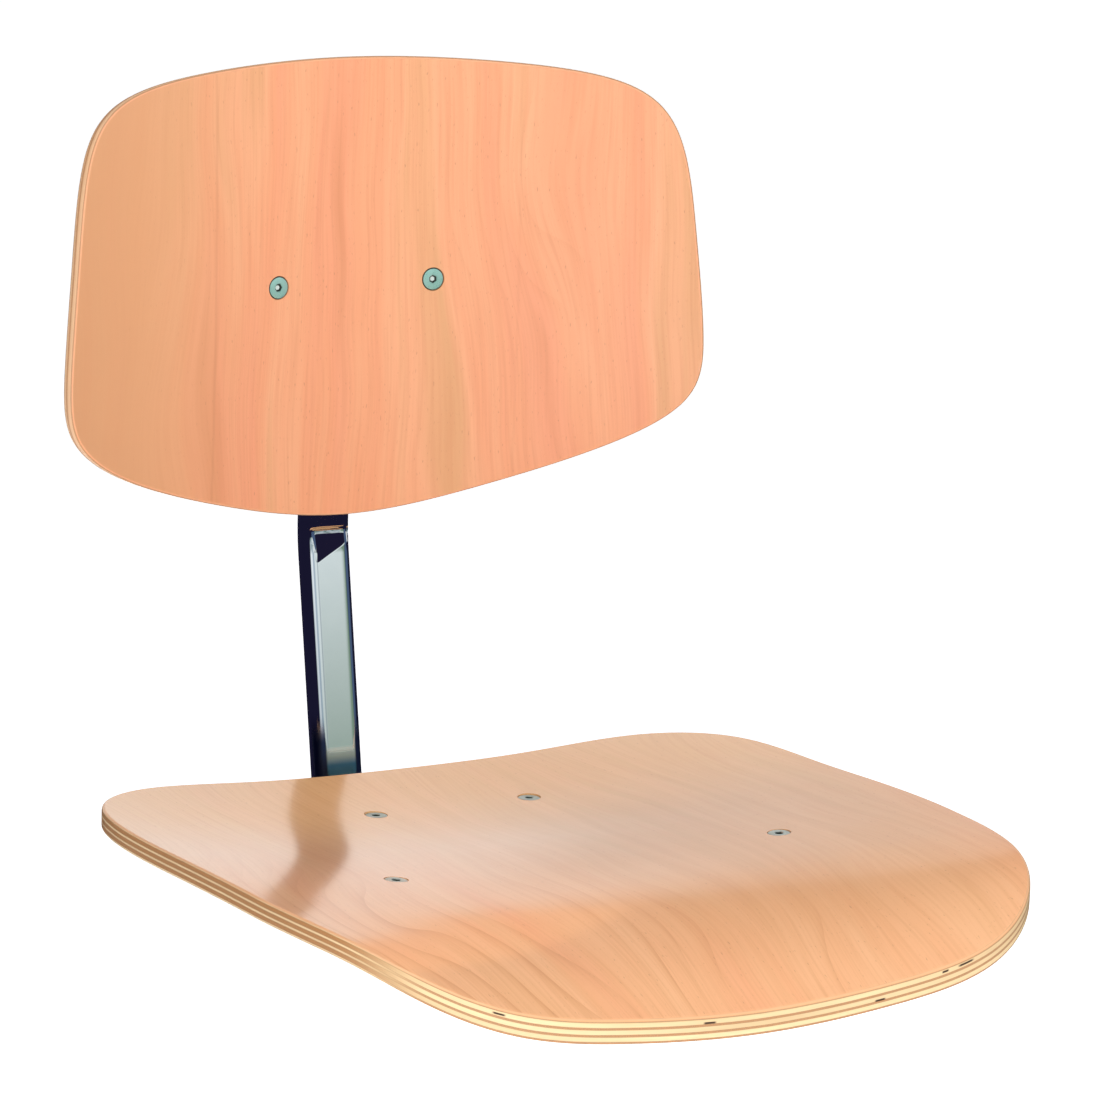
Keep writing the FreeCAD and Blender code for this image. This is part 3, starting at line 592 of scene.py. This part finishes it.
def coated(name, col, rough, spread, scale, strength, spec=0.5, coat=0.0, worn=None):
    t = Tree(name)
    x, y, z = t.object_xyz()
    v = t.combine(x, y, z)
    grain = t.noise(v, scale, 3.0, 0.6)
    cloud = t.noise(v, 35.0, 3.0, 0.55)
    c = t.mix(t.maprange(cloud, 0.3, 0.7, 0.0, 1.0), col, worn or tuple(min(1.0, k * 1.5 + 0.004) for k in col))
    c = t.mix(t.maprange(grain, 0.55, 0.8, 0.0, 0.4), c, tuple(min(1.0, k * 1.9 + 0.006) for k in col))
    t.put(t.b.inputs["Base Color"], c)
    t.b.inputs["Specular IOR Level"].default_value = spec
    t.b.inputs["Coat Weight"].default_value = coat
    t.b.inputs["Coat Roughness"].default_value = 0.25
    t.put(t.b.inputs["Roughness"], t.maprange(cloud, 0.3, 0.7, rough, rough + spread))
    t.put(t.b.inputs["Normal"], t.bump(grain, strength, 0.0004))
    return t.m


LIGHT, MID, DARK = (0.800, 0.382, 0.208), (0.785, 0.334, 0.175), (0.580, 0.217, 0.092)
PINK, TAN = (0.790, 0.326, 0.180), (0.685, 0.350, 0.170)
TONES = (LIGHT, MID, DARK, PINK, TAN)
SEAT_TONES = ((0.910, 0.490, 0.250), (0.890, 0.445, 0.218), (0.640, 0.260, 0.100), (0.910, 0.420, 0.215), (0.800, 0.425, 0.192))
# the seat's last argument darkens a patch off centre towards +x: painted shade
m_seat = beech("beech_seat", lambda t, x, y, z: x, lambda t, x, y, z: y, 2.0, SEAT_TONES, [], 0.15,
               [(-0.060, 0.110, (0.870, 0.520, 0.225), 0.68)], 0.62, (0.42, 0.58), (-0.13, -0.03, 0.25),
               (0.095, -0.010, 0.05, 0.23, (0.52, 0.275, 0.085), 0.58))
m_back = beech("beech_back",
               lambda t, x, y, z: t.math("MULTIPLY", t.math("ARCSINE", t.math("DIVIDE", x, BACK_R * MM)), BACK_R * MM),
               lambda t, x, y, z: z, 6.0, TONES, [(-0.175, -0.050, TAN, 0.85, [(-0.096, 0.20), (0.104, 0.10)])], 0.16, (), 0.22,
               stops=(0.33, 0.44, 0.54, 0.64, 0.84))
m_edge_seat = ply_edge("ply_edge_seat", 7, SEAT_T, 3.0, (0.90, 0.675, 0.375), (0.58, 0.29, 0.125), (0.80, 0.44, 0.23), (0.180, 0.212), (0.53, 0.245, 0.085),
                       [(0.6365, 0.17, 0.0062), (0.6505, 0.17, 0.0026), (0.7972, 0.24, 0.0045), (0.692, 0.55, 0.004), (0.9179, 0.20, 0.004)])
m_edge_back = ply_edge("ply_edge_back", 5, BACK_T, 8.0, (0.80, 0.50, 0.29), (0.60, 0.30, 0.14), LIGHT)
m_chrome = metal("chrome_plate", (0.86, 0.88, 0.90), 0.025, 0.03, 900.0, 0.004, (0.83, 0.855, 0.88))
# chrome of the bar, with a painted dark-blue reflection just above the lower bend
m_bar = metal("chrome_plate_bar", (0.86, 0.88, 0.90), 0.025, 0.03, 900.0, 0.004, (0.83, 0.855, 0.88),
              painted_reflection_band=(0.046, 0.054, 0.0780, 0.0852, (0.16, 0.50, 0.85)))
m_zinc = metal("zinc_plate", (0.29, 0.62, 0.53), 0.22, 0.16, 2600.0, 0.10, (0.42, 0.68, 0.62), 0.45)
m_zinc_pale = metal("zinc_plate_pale", (0.60, 0.66, 0.61), 0.26, 0.16, 2600.0, 0.12, (0.48, 0.57, 0.52), 0.8)
# near black: painted shade in the hex sockets and round the rim of the heads
m_painted_shade = metal("socket_wall_painted_shade", (0.020, 0.035, 0.030), 0.45, 0.2, 2200.0, 0.15, (0.05, 0.07, 0.06), 0.3)
# near white: painted highlight on the bottom of the sockets
m_painted_highlight = metal("socket_floor_painted_highlight", (0.86, 0.93, 0.90), 0.35, 0.2, 2200.0, 0.15, (0.70, 0.80, 0.76), 0.1)
m_brass = metal("turned_brass", (0.78, 0.58, 0.26), 0.25, 0.15, 1800.0, 0.08)
m_black = coated("powder_coat", (0.020, 0.020, 0.022), 0.38, 0.12, 1400.0, 0.25)
m_plastic = coated("black_polyamide", (0.022, 0.022, 0.024), 0.42, 0.14, 2600.0, 0.30)
m_rubber = coated("black_rubber", (0.018, 0.018, 0.018), 0.75, 0.15, 900.0, 0.30, 0.25)
m_acetal = coated("natural_acetal", (0.76, 0.75, 0.70), 0.34, 0.12, 1200.0, 0.06, 0.5, 0.0, (0.70, 0.69, 0.63))
BY_SLOT = {"chrome": m_chrome, "zinc_steel": m_zinc_pale, "black_steel": m_black, "black_plastic": m_plastic,
           "white_plastic": m_acetal, "black_rubber": m_rubber, "brass": m_brass, "beech_plywood": m_seat}

# ------------------------------------------------------------------ seat and backrest
seat = moulded_ply("seat_panel", lambda a, b: seat_at(a, b), False, periodic(full(SEAT_OUTLINE), 24), (0.0, -26.0),
                   SEAT_T, 2.2, 1.6, 320, [m_seat, m_edge_seat], Vector((0, 0, 1)))
back = moulded_ply("backrest_panel", lambda a, b: back_at(a, b), False, periodic(full(BACK_OUTLINE), 24), (0.0, 0.0),
                   BACK_T, 2.0, 4.6, 320, [m_back, m_edge_back])
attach(seat, "seat_unit")
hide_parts("seat_shell")
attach(back, "backrest")
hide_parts("backrest_shell")


def seat_axis(sx, x, y):
    n = normal_of(seat_at, sx * x, y, False)
    n = Vector((n.x, 0, n.z)).normalized() if x > 100 else Vector((0, 0, 1))
    return seat_at(sx * x, y), -n


seat_spots = [seat_axis(sx, x, y) for sx in (1, -1) for x, y in (REAR_SCREW, FRONT_SCREW)]
th = BACK_SCREW_U / BACK_R
back_spots = [(back_at(s * BACK_SCREW_U, BACK_SCREW_V),
               Vector((s * math.sin(th), math.cos(th) * math.cos(BACK_TILT), -math.cos(th) * math.sin(BACK_TILT))).normalized())
              for s in (1, -1)]


def drill(panel, spots, head_r, depth, name, gap=0.55):
    """Countersinks and drills the panel at each screw."""
    v, f = [], []
    for p, d in spots:
        lathe([(0, -6.0), (head_r + gap, -6.0), (head_r + gap, -0.05), (head_r + 0.25 * gap / 0.55, 0.45), (head_r + 0.1, 0.9),
               (3.6, head_r - 2.4), (3.5, depth + 6.0), (0, depth + 6.0)], p, d, 64, v, f)
    c = new_object(name, v, f, [panel.data.materials[0], panel.data.materials[1]])
    tidy(c)
    mod = panel.modifiers.new("holes", "BOOLEAN")
    mod.operation = "DIFFERENCE"
    mod.solver = "EXACT"
    mod.object = c
    dg = bpy.context.evaluated_depsgraph_get()
    me = bpy.data.meshes.new_from_object(panel.evaluated_get(dg), preserve_all_data_layers=True, depsgraph=dg)
    panel.modifiers.clear()
    old = panel.data
    panel.data = me
    bpy.data.meshes.remove(old)
    bpy.data.objects.remove(c)


def true_normals(panel, surf, inverse, thick):
    """Gives the two faces of a drilled panel the normals of the moulded surface."""
    me = panel.data
    me.set_sharp_from_angle(angle=math.radians(32))
    loops = [Vector(n.vector) for n in me.corner_normals]
    ply = [d.value for d in me.attributes["ply"].data]
    for poly in me.polygons:
        ids = [me.loops[i].vertex_index for i in poly.loop_indices]
        for side, off in ((1, 0.0), (-1, thick)):
            if poly.material_index or not all(abs(ply[i] - (off > 0)) < 1e-5 for i in ids):
                continue
            if poly.normal.dot(normal_of(surf, *inverse(poly.center / MM, off), False)) * side < 0.9:
                continue
            for li, i in zip(poly.loop_indices, ids):
                loops[li] = normal_of(surf, *inverse(me.vertices[i].co / MM, off), False) * side
    me.normals_split_custom_set(loops)


def seat_inverse(p, off):
    n = normal_of(seat_at, p.x, p.y, False)
    return p.x + n.x * off, p.y + n.y * off


def back_inverse(p, off):
    u = BACK_R * math.asin(max(-1.0, min(1.0, p.x / (BACK_R + off))))
    return u, (p.z - BACK_Z) / math.cos(BACK_TILT)


drill(seat, seat_spots, 6.5, SEAT_T, "seat_drill", 0.3)
drill(back, back_spots, 6.7, BACK_T, "back_drill", 0.32)
true_normals(seat, seat_at, seat_inverse, SEAT_T)
true_normals(back, back_at, back_inverse, BACK_T)

v, f, mi = [], [], []
for i, (p, d) in enumerate(seat_spots):
    socket_screw(p + d * 0.35, d, 6.5, 3.0, 27.0 if i % 2 == 0 else 34.0, 0.15, v, f, 0.4 + 0.7 * i, mi)
seat_screws = new_object("seat_screw_set", v, f, [m_zinc_pale, m_painted_shade, m_painted_highlight])
# the seat screws keep the painted shade in the sockets only, and the ring round their heads stays pale zinc
seat_screws.data.polygons.foreach_set("material_index", [0 if k == 1 and (j // 72) % 17 > 6 else k for j, k in enumerate(mi)])
tidy(seat_screws)
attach(seat_screws, "seat_unit")
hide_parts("seat_screws")
v, f, mi = [], [], []
for i, (p, d) in enumerate(back_spots):
    socket_screw(p + d * 0.2, d, 6.7, 3.0, 20.0, 0.5, v, f, 0.2 + 0.5 * i, mi)
back_screws = new_object("backrest_screw_set", v, f, [m_zinc, m_painted_shade, m_painted_highlight])
back_screws.data.polygons.foreach_set("material_index", mi)
tidy(back_screws)
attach(back_screws, "backrest")
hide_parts("backrest_screws")

# ------------------------------------------------------------------ chromed bar
turn = math.pi / 2 - BAR_LEAN
z_end = LEG_Z + LOW_BEND_R * (1 - math.cos(turn))
y_end = BAR_Y0 + math.tan(BAR_LEAN) * (z_end - SEAT_TOP_Z)
y_bend = y_end - LOW_BEND_R * math.sin(turn)
stations = []                       # (y, z, angle of the run above the horizontal)
for k in range(17):
    stations.append((LEG_FRONT_Y + (y_bend - LEG_FRONT_Y) * k / 16, LEG_Z, 0.0))
for k in range(1, 33):
    a = turn * k / 32
    stations.append((y_bend + LOW_BEND_R * math.sin(a), LEG_Z + LOW_BEND_R * (1 - math.cos(a)), a))
z3 = TOP_BEND_START_Z
y3 = BAR_Y0 + math.tan(BAR_LEAN) * (z3 - SEAT_TOP_Z)
heights = [z_end + (186.0 - z_end) * k / 70 for k in range(1, 71)] + [186.0 + (z3 - 186.0) * k / 30 for k in range(1, 31)]
for h in heights:
    stations.append((BAR_Y0 + math.tan(BAR_LEAN) * (h - SEAT_TOP_Z), h, turn))
cy, cz = y3 - TOP_BEND_R * math.cos(BAR_LEAN), z3 + TOP_BEND_R * math.sin(BAR_LEAN)
for k in range(1, 49):
    a = BAR_LEAN * (1 - k / 48)
    stations.append((cy + TOP_BEND_R * math.cos(a), cz - TOP_BEND_R * math.sin(a), math.pi / 2 - a))
y4, z4 = cy + TOP_BEND_R, cz
for k in range(1, 41):
    stations.append((y4, z4 + (BAR_TOP_Z - z4) * k / 40, math.pi / 2))


def oval(seg_flat, seg_round):
    """Flat-oval section as (across, towards the front or top), anticlockwise."""
    r, s = TUBE_D / 2, TUBE_W / 2 - TUBE_D / 2
    pts = []
    for k in range(seg_flat):
        pts.append((-s + 2 * s * k / seg_flat, r))
    for k in range(seg_round):
        a = math.pi / 2 - math.pi * k / seg_round
        pts.append((s + r * math.cos(a), r * math.sin(a)))
    for k in range(seg_flat):
        pts.append((s - 2 * s * k / seg_flat, -r))
    for k in range(seg_round):
        a = -math.pi / 2 - math.pi * k / seg_round
        pts.append((-s + r * math.cos(a), r * math.sin(a)))
    return pts


section = oval(26, 22)
DENT_Z = 209.5


def dent(sx, z):
    """Depth of the dent pressed into the inside of the upper bend: a flank that runs in from a skewed
    edge below, a narrow flat along the crease, and a short steep return above."""
    h = z - DENT_Z
    if sx < -8.0:
        edge = -18.5 + (-8.0 - sx) / 3.2 * 16.5
    else:
        edge = -18.5 + (min(sx, 12.0) + 8.0) / 16.0 * 9.0
    if h <= edge or h > 3.6 or edge > -2.0 or sx > 15.0:
        return 0.0
    d, q, n = 0.0, edge, 40
    top = min(h, 1.1)
    for k in range(n):
        g = edge + (top - edge) * (k + 0.5) / n
        zz = DENT_Z + g
        tube = BAR_LEAN if zz < TOP_BEND_START_Z else math.asin(max(0.0, (217.34 - zz) / TOP_BEND_R))
        want = math.radians(17.5) if g < -1.1 else math.radians(9.2)
        d += math.tan(want - tube) * (top - edge) / n
    if h > 1.1:
        q = 1 - (h - 1.1) / 2.5
        d *= q * q * (3 - 2 * q)
    return max(0.0, d)


v, f = [], []
for y, z, a in stations:
    up = Vector((0, -math.sin(a), math.cos(a)))       # towards the front on the upright, up on the leg
    for sx, sn in section:
        d = dent(sx, z) * max(0.0, min(1.0, sn / 3.0)) if sn > 0 else 0.0
        v.append(Vector((sx, y, z)) * MM + up * ((sn - d) * MM))
n = len(section)
for r in range(len(stations) - 1):
    for i in range(n):
        j = (i + 1) % n
        f.append((r * n + i, r * n + j, (r + 1) * n + j, (r + 1) * n + i))
f.append(tuple(range(n)))
f.append(tuple(reversed(range((len(stations) - 1) * n, len(stations) * n))))
bar = new_object("bar_tube", v, f, [m_bar])
tidy(bar, 50)
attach(bar, "back_bar")
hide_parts("back_bar")

# ------------------------------------------------------------------ finishes and softened edges of the other pieces
slot_of = {s["node"]: s["material_slot"] for s in frame["record"]["subparts"]}
for name, o in NODES.items():
    if name in ("seat_shell", "backrest_shell", "seat_screws", "backrest_screws", "back_bar"):
        continue
    o.data.materials.clear()
    o.data.materials.append(BY_SLOT[slot_of[name]])
    bev = o.modifiers.new("edge", "BEVEL")
    bev.width = 0.0004
    bev.segments = 2
    bev.limit_method = "ANGLE"
    bev.angle_limit = math.radians(40)
    bev.harden_normals = False

# ------------------------------------------------------------------ floor, light, camera
FLOOR_Z = -0.42
fl = new_object("floor", [(-16, -16, FLOOR_Z), (16, -16, FLOOR_Z), (16, 16, FLOOR_Z), (-16, 16, FLOOR_Z)], [(0, 1, 2, 3)], smooth=False)
t = Tree("pale_floor")
geo = t.n("NewGeometry")
clear = t.n("BsdfTransparent")
mixs = t.n("MixShader")
em = t.n("Emission")
em.inputs["Strength"].default_value = 0.85
add = t.n("AddShader")
x, y, z = t.object_xyz()
sp = t.noise(t.combine(x, y, 0.0), 3.0, 3.0, 0.5)
t.put(t.b.inputs["Base Color"], t.mix(t.maprange(sp, 0.3, 0.7, 0.0, 1.0), (0.90, 0.90, 0.90), (0.88, 0.88, 0.88)))
t.b.inputs["Roughness"].default_value = 0.9
t.t.links.new(t.b.outputs[0], add.inputs[0])
t.t.links.new(em.outputs[0], add.inputs[1])
t.t.links.new(geo.outputs["Backfacing"], mixs.inputs[0])
t.t.links.new(add.outputs[0], mixs.inputs[1])
t.t.links.new(clear.outputs[0], mixs.inputs[2])
t.t.links.new(mixs.outputs[0], t.out.inputs[0])
fl.data.materials.append(t.m)
fl.visible_glossy = False

# pale paper all round, beyond the floor, so that every side has a plain background
rows, seg, v, f = 24, 48, [], []
for r in range(rows + 1):
    a = math.pi * r / rows
    for k in range(seg):
        b = 2 * math.pi * k / seg
        v.append((15 * math.sin(a) * math.cos(b), 15 * math.sin(a) * math.sin(b), 15 * math.cos(a)))
for r in range(rows):
    for k in range(seg):
        j = (k + 1) % seg
        f.append((r * seg + k, r * seg + j, (r + 1) * seg + j, (r + 1) * seg + k))
paper = new_object("paper", v, f)
t = Tree("pale_paper")
em = t.n("Emission")
x, y, z = t.object_xyz()
sp = t.noise(t.combine(x, y, z), 0.8, 3.0, 0.5)
t.put(em.inputs["Color"], t.mix(t.maprange(sp, 0.3, 0.7, 0.0, 1.0), (1.0, 1.0, 1.0), (0.985, 0.985, 0.985)))
em.inputs["Strength"].default_value = 1.05
t.t.links.new(em.outputs[0], t.out.inputs[0])
paper.data.materials.append(t.m)
paper.visible_glossy = paper.visible_diffuse = paper.visible_shadow = paper.visible_transmission = False

# pale card behind the chair, with a sloping top edge, which only shows in glossy surfaces
CARD_D, CARD_AZ = 1.0, math.radians(147.0)
ch = Vector((math.sin(CARD_AZ), -math.cos(CARD_AZ), 0.0))
cl = Vector((ch.y, -ch.x, 0.0))
card = new_object("card", [tuple(ch * CARD_D + cl * a + Vector((0, 0, b))) for a, b in ((-0.90, 0.14), (0.90, 0.14), (0.90, 0.95), (-0.90, 0.95))],
                  [(0, 1, 2, 3)], smooth=False)
t = Tree("pale_card")
x, y, z = t.object_xyz()
along = t.math("ADD", t.math("MULTIPLY", x, cl.x), t.math("MULTIPLY", y, cl.y))
top = t.maprange(along, -0.030, 0.205, 0.506, 0.790)
soft = t.maprange(along, -0.080, 0.040, 0.042, 0.016)
em = t.n("Emission")
dim = t.maprange(along, -0.100, -0.030, 0.0, 1.0)
rim = t.math("MULTIPLY", t.maprange(z, 0.29, 0.44, 0.0, 0.29), t.maprange(along, 0.03, 0.16, 1.0, 0.2))
t.put(em.inputs["Strength"], t.math("SUBTRACT", 1.0, t.math("MULTIPLY", dim, t.math("SUBTRACT", 0.23, rim))))
sp = t.noise(t.combine(x, y, z), 4.0, 3.0, 0.5)
t.put(em.inputs["Color"], t.mix(t.maprange(sp, 0.3, 0.7, 0.0, 1.0), (0.95, 0.95, 0.95), (0.93, 0.93, 0.93)))
clear = t.n("BsdfTransparent")
mixs = t.n("MixShader")
t.put(mixs.inputs[0], t.maprange(t.math("DIVIDE", t.math("SUBTRACT", z, top), soft), -1.0, 1.0, 1.0, 0.0, True))
t.t.links.new(clear.outputs[0], mixs.inputs[1])
t.t.links.new(em.outputs[0], mixs.inputs[2])
t.t.links.new(mixs.outputs[0], t.out.inputs[0])
card.data.materials.append(t.m)
card.visible_camera = card.visible_diffuse = card.visible_shadow = card.visible_transmission = False

world = bpy.data.worlds.new("studio")
scene.world = world
world.use_nodes = True
wt = world.node_tree
wt.nodes.clear()


def wn(kind, **props):
    nd = wt.nodes.new("ShaderNode" + kind)
    for k, val in props.items():
        setattr(nd, k, val)
    return nd


def wput(sock, val):
    if isinstance(val, bpy.types.NodeSocket):
        wt.links.new(val, sock)
    else:
        sock.default_value = val


def wmath(op, a, b=None):
    nd = wn("Math", operation=op)
    wput(nd.inputs[0], a)
    if b is not None:
        wput(nd.inputs[1], b)
    return nd.outputs[0]


def wrange(val, a, b, c, d):
    nd = wn("MapRange", interpolation_type="SMOOTHSTEP")
    wput(nd.inputs[0], val)
    for i, q in enumerate((a, b, c, d)):
        nd.inputs[i + 1].default_value = q
    return nd.outputs[0]


def wmix(fac, a, b):
    nd = wn("Mix", data_type="RGBA")
    wput(nd.inputs[0], fac)
    for s, val in ((nd.inputs[6], a), (nd.inputs[7], b)):
        if isinstance(val, tuple):
            s.default_value = (*val, 1.0)
        else:
            wput(s, val)
    return nd.outputs[2]


tc = wn("TexCoord")
sep = wn("SeparateXYZ")
wt.links.new(tc.outputs["Generated"], sep.inputs[0])
dx, dy, dz = sep.outputs
el = wmath("MULTIPLY", wmath("ARCSINE", dz), 180 / math.pi)              # elevation
az = wmath("MULTIPLY", wmath("ARCTAN2", dx, wmath("MULTIPLY", dy, -1.0)), 180 / math.pi)   # 0 towards the front, + to +X
NAVY = (0.010, 0.009, 0.028)
col = wmix(wrange(el, 30.0, 75.0, 0.0, 1.0), (0.10, 0.10, 0.12), (0.42, 0.42, 0.42))          # ceiling
behind = wmath("MULTIPLY", wrange(az, 116.0, 128.0, 0.0, 1.0), wrange(az, 168.0, 176.0, 1.0, 0.0))
wall = wmix(wrange(el, 8.0, 22.0, 0.0, 1.0), (0.96, 0.96, 0.96), (0.90, 0.90, 0.90))
col = wmix(wmath("MULTIPLY", behind, wrange(el, 9.0, 13.0, 1.0, 0.0)), col, wall)      # bright wall behind
ahead = wmath("MULTIPLY", wrange(az, -60.0, -44.0, 0.0, 1.0), wrange(az, 66.0, 80.0, 1.0, 0.0))
col = wmix(wmath("MULTIPLY", ahead, wrange(el, 40.0, 60.0, 1.0, 0.0)), col, (0.012, 0.010, 0.030))
front = wmath("MULTIPLY", wrange(az, -40.0, -33.0, 0.0, 1.0), wrange(az, 50.0, 66.0, 1.0, 0.0))
step = wn("MapRange")
wput(step.inputs[0], el)
for i, q in enumerate((2.7, 6.2, 0.0, 1.0)):
    step.inputs[i + 1].default_value = q
panel = wmix(step.outputs[0], (0.19, 0.28, 0.205), (0.76, 0.83, 0.83))
stripe = wmath("MULTIPLY", wrange(az, 10.0, 17.0, 0.0, 1.0), wrange(az, 18.0, 24.0, 1.0, 0.0))
panel = wmix(wmath("MULTIPLY", stripe, 0.45), panel, (0.10, 0.14, 0.20))
glow = wmath("MULTIPLY", wrange(az, -42.0, -34.0, 0.0, 1.0), wrange(az, -24.0, -16.0, 1.0, 0.0))
panel = wmix(wmath("MULTIPLY", glow, 0.80), panel, wmix(step.outputs[0], (0.45, 0.52, 0.58), (0.98, 1.02, 1.06)))
dip = wmath("MULTIPLY", wrange(az, -24.0, -16.0, 0.0, 1.0), wrange(az, -8.0, 0.0, 1.0, 0.0))
panel = wmix(wmath("MULTIPLY", dip, 0.55), panel, (0.16, 0.25, 0.38))
col = wmix(wmath("MULTIPLY", front, wmath("MULTIPLY", wrange(el, -1.5, 0.5, 0.0, 1.0), wrange(el, 10.0, 15.0, 1.0, 0.0))), col, panel)
side = wmath("MULTIPLY", wrange(az, 56.0, 64.0, 0.0, 1.0), wrange(az, 95.0, 105.0, 1.0, 0.0))
col = wmix(wmath("MULTIPLY", side, wrange(el, 20.0, 40.0, 1.0, 0.0)), col, (0.07, 0.11, 0.20))
left = wmath("MULTIPLY", wrange(az, -150.0, -140.0, 0.0, 1.0), wrange(az, -46.0, -39.0, 1.0, 0.0))
col = wmix(wmath("MULTIPLY", left, wrange(el, 30.0, 50.0, 1.0, 0.0)), col, NAVY)
low = wrange(el, -5.0, -2.0, 1.0, 0.0)
below = wmath("MULTIPLY", wrange(az, -125.0, -108.0, 0.0, 1.0), wrange(az, 150.0, 162.0, 1.0, 0.0))
pale = wmix(wrange(el, -28.0, -18.0, 0.0, 1.0), (0.66, 0.66, 0.67), NAVY)          # floor behind
col = wmix(low, col, wmix(below, pale, NAVY))
bg = wn("Background")
wt.links.new(col, bg.inputs[0])
bg.inputs[1].default_value = 1.0
wo = wn("OutputWorld")
wt.links.new(bg.outputs[0], wo.inputs[0])


def softbox(name, loc, target, size, power, color=(1, 1, 1), glossy=False):
    ld = bpy.data.lights.new(name, "AREA")
    ld.shape = "RECTANGLE"
    ld.size, ld.size_y = size
    ld.energy = power
    ld.color = color
    o = bpy.data.objects.new(name, ld)
    o.location = loc
    o.rotation_euler = (Vector(target) - Vector(loc)).to_track_quat("-Z", "Y").to_euler()
    o.visible_glossy = glossy
    o.visible_camera = False
    scene.collection.objects.link(o)
    return o


MIDDLE = (0.0, 0.05, 0.22)
softbox("key", (-1.35, -2.55, 1.45), MIDDLE, (1.6, 1.2), 32.0, (1.0, 0.985, 0.96))
softbox("fill", (1.9, -1.6, 1.1), MIDDLE, (1.6, 1.6), 6.0, (0.96, 0.98, 1.0))
softbox("front", (-0.30, -1.35, 0.05), (0.0, -0.20, 0.07), (1.2, 0.5), 6.5)
softbox("left", (-2.2, -0.6, 0.6), (-0.2, 0.0, 0.07), (1.2, 1.0), 6.0)
softbox("top", (-0.2, -0.5, 2.4), MIDDLE, (2.2, 2.2), 36.0)

C = Vector((-1.34662, -2.338275, 0.758994 + SEAT_TOP_Z * MM))
yaw, pitch, roll, focal = math.radians(-29.928), math.radians(-12.296), math.radians(1.935), 5032.261
fw = Vector((-math.sin(yaw) * math.cos(pitch), math.cos(yaw) * math.cos(pitch), math.sin(pitch)))
rt = Vector((math.cos(yaw), math.sin(yaw), 0))
up = rt.cross(fw)
rt2 = rt * math.cos(roll) + up * math.sin(roll)
up2 = up * math.cos(roll) - rt * math.sin(roll)
cd = bpy.data.cameras.new("photo_camera")
cd.sensor_fit = "HORIZONTAL"
cd.sensor_width = 36.0
cd.lens = focal / 1100.0 * 36.0
cd.shift_x = (550.0 - 553.955) / 1100.0
cd.clip_start, cd.clip_end = 0.05, 200.0
cam = bpy.data.objects.new("photo_camera", cd)
cam.matrix_world = Matrix(((rt2.x, up2.x, -fw.x, C.x), (rt2.y, up2.y, -fw.y, C.y), (rt2.z, up2.z, -fw.z, C.z), (0, 0, 0, 1)))
scene.collection.objects.link(cam)
scene.camera = cam
scene.view_settings.view_transform = "Standard"
scene.view_settings.look = "None"
scene.view_settings.exposure = 0.0
scene.view_settings.gamma = 1.0
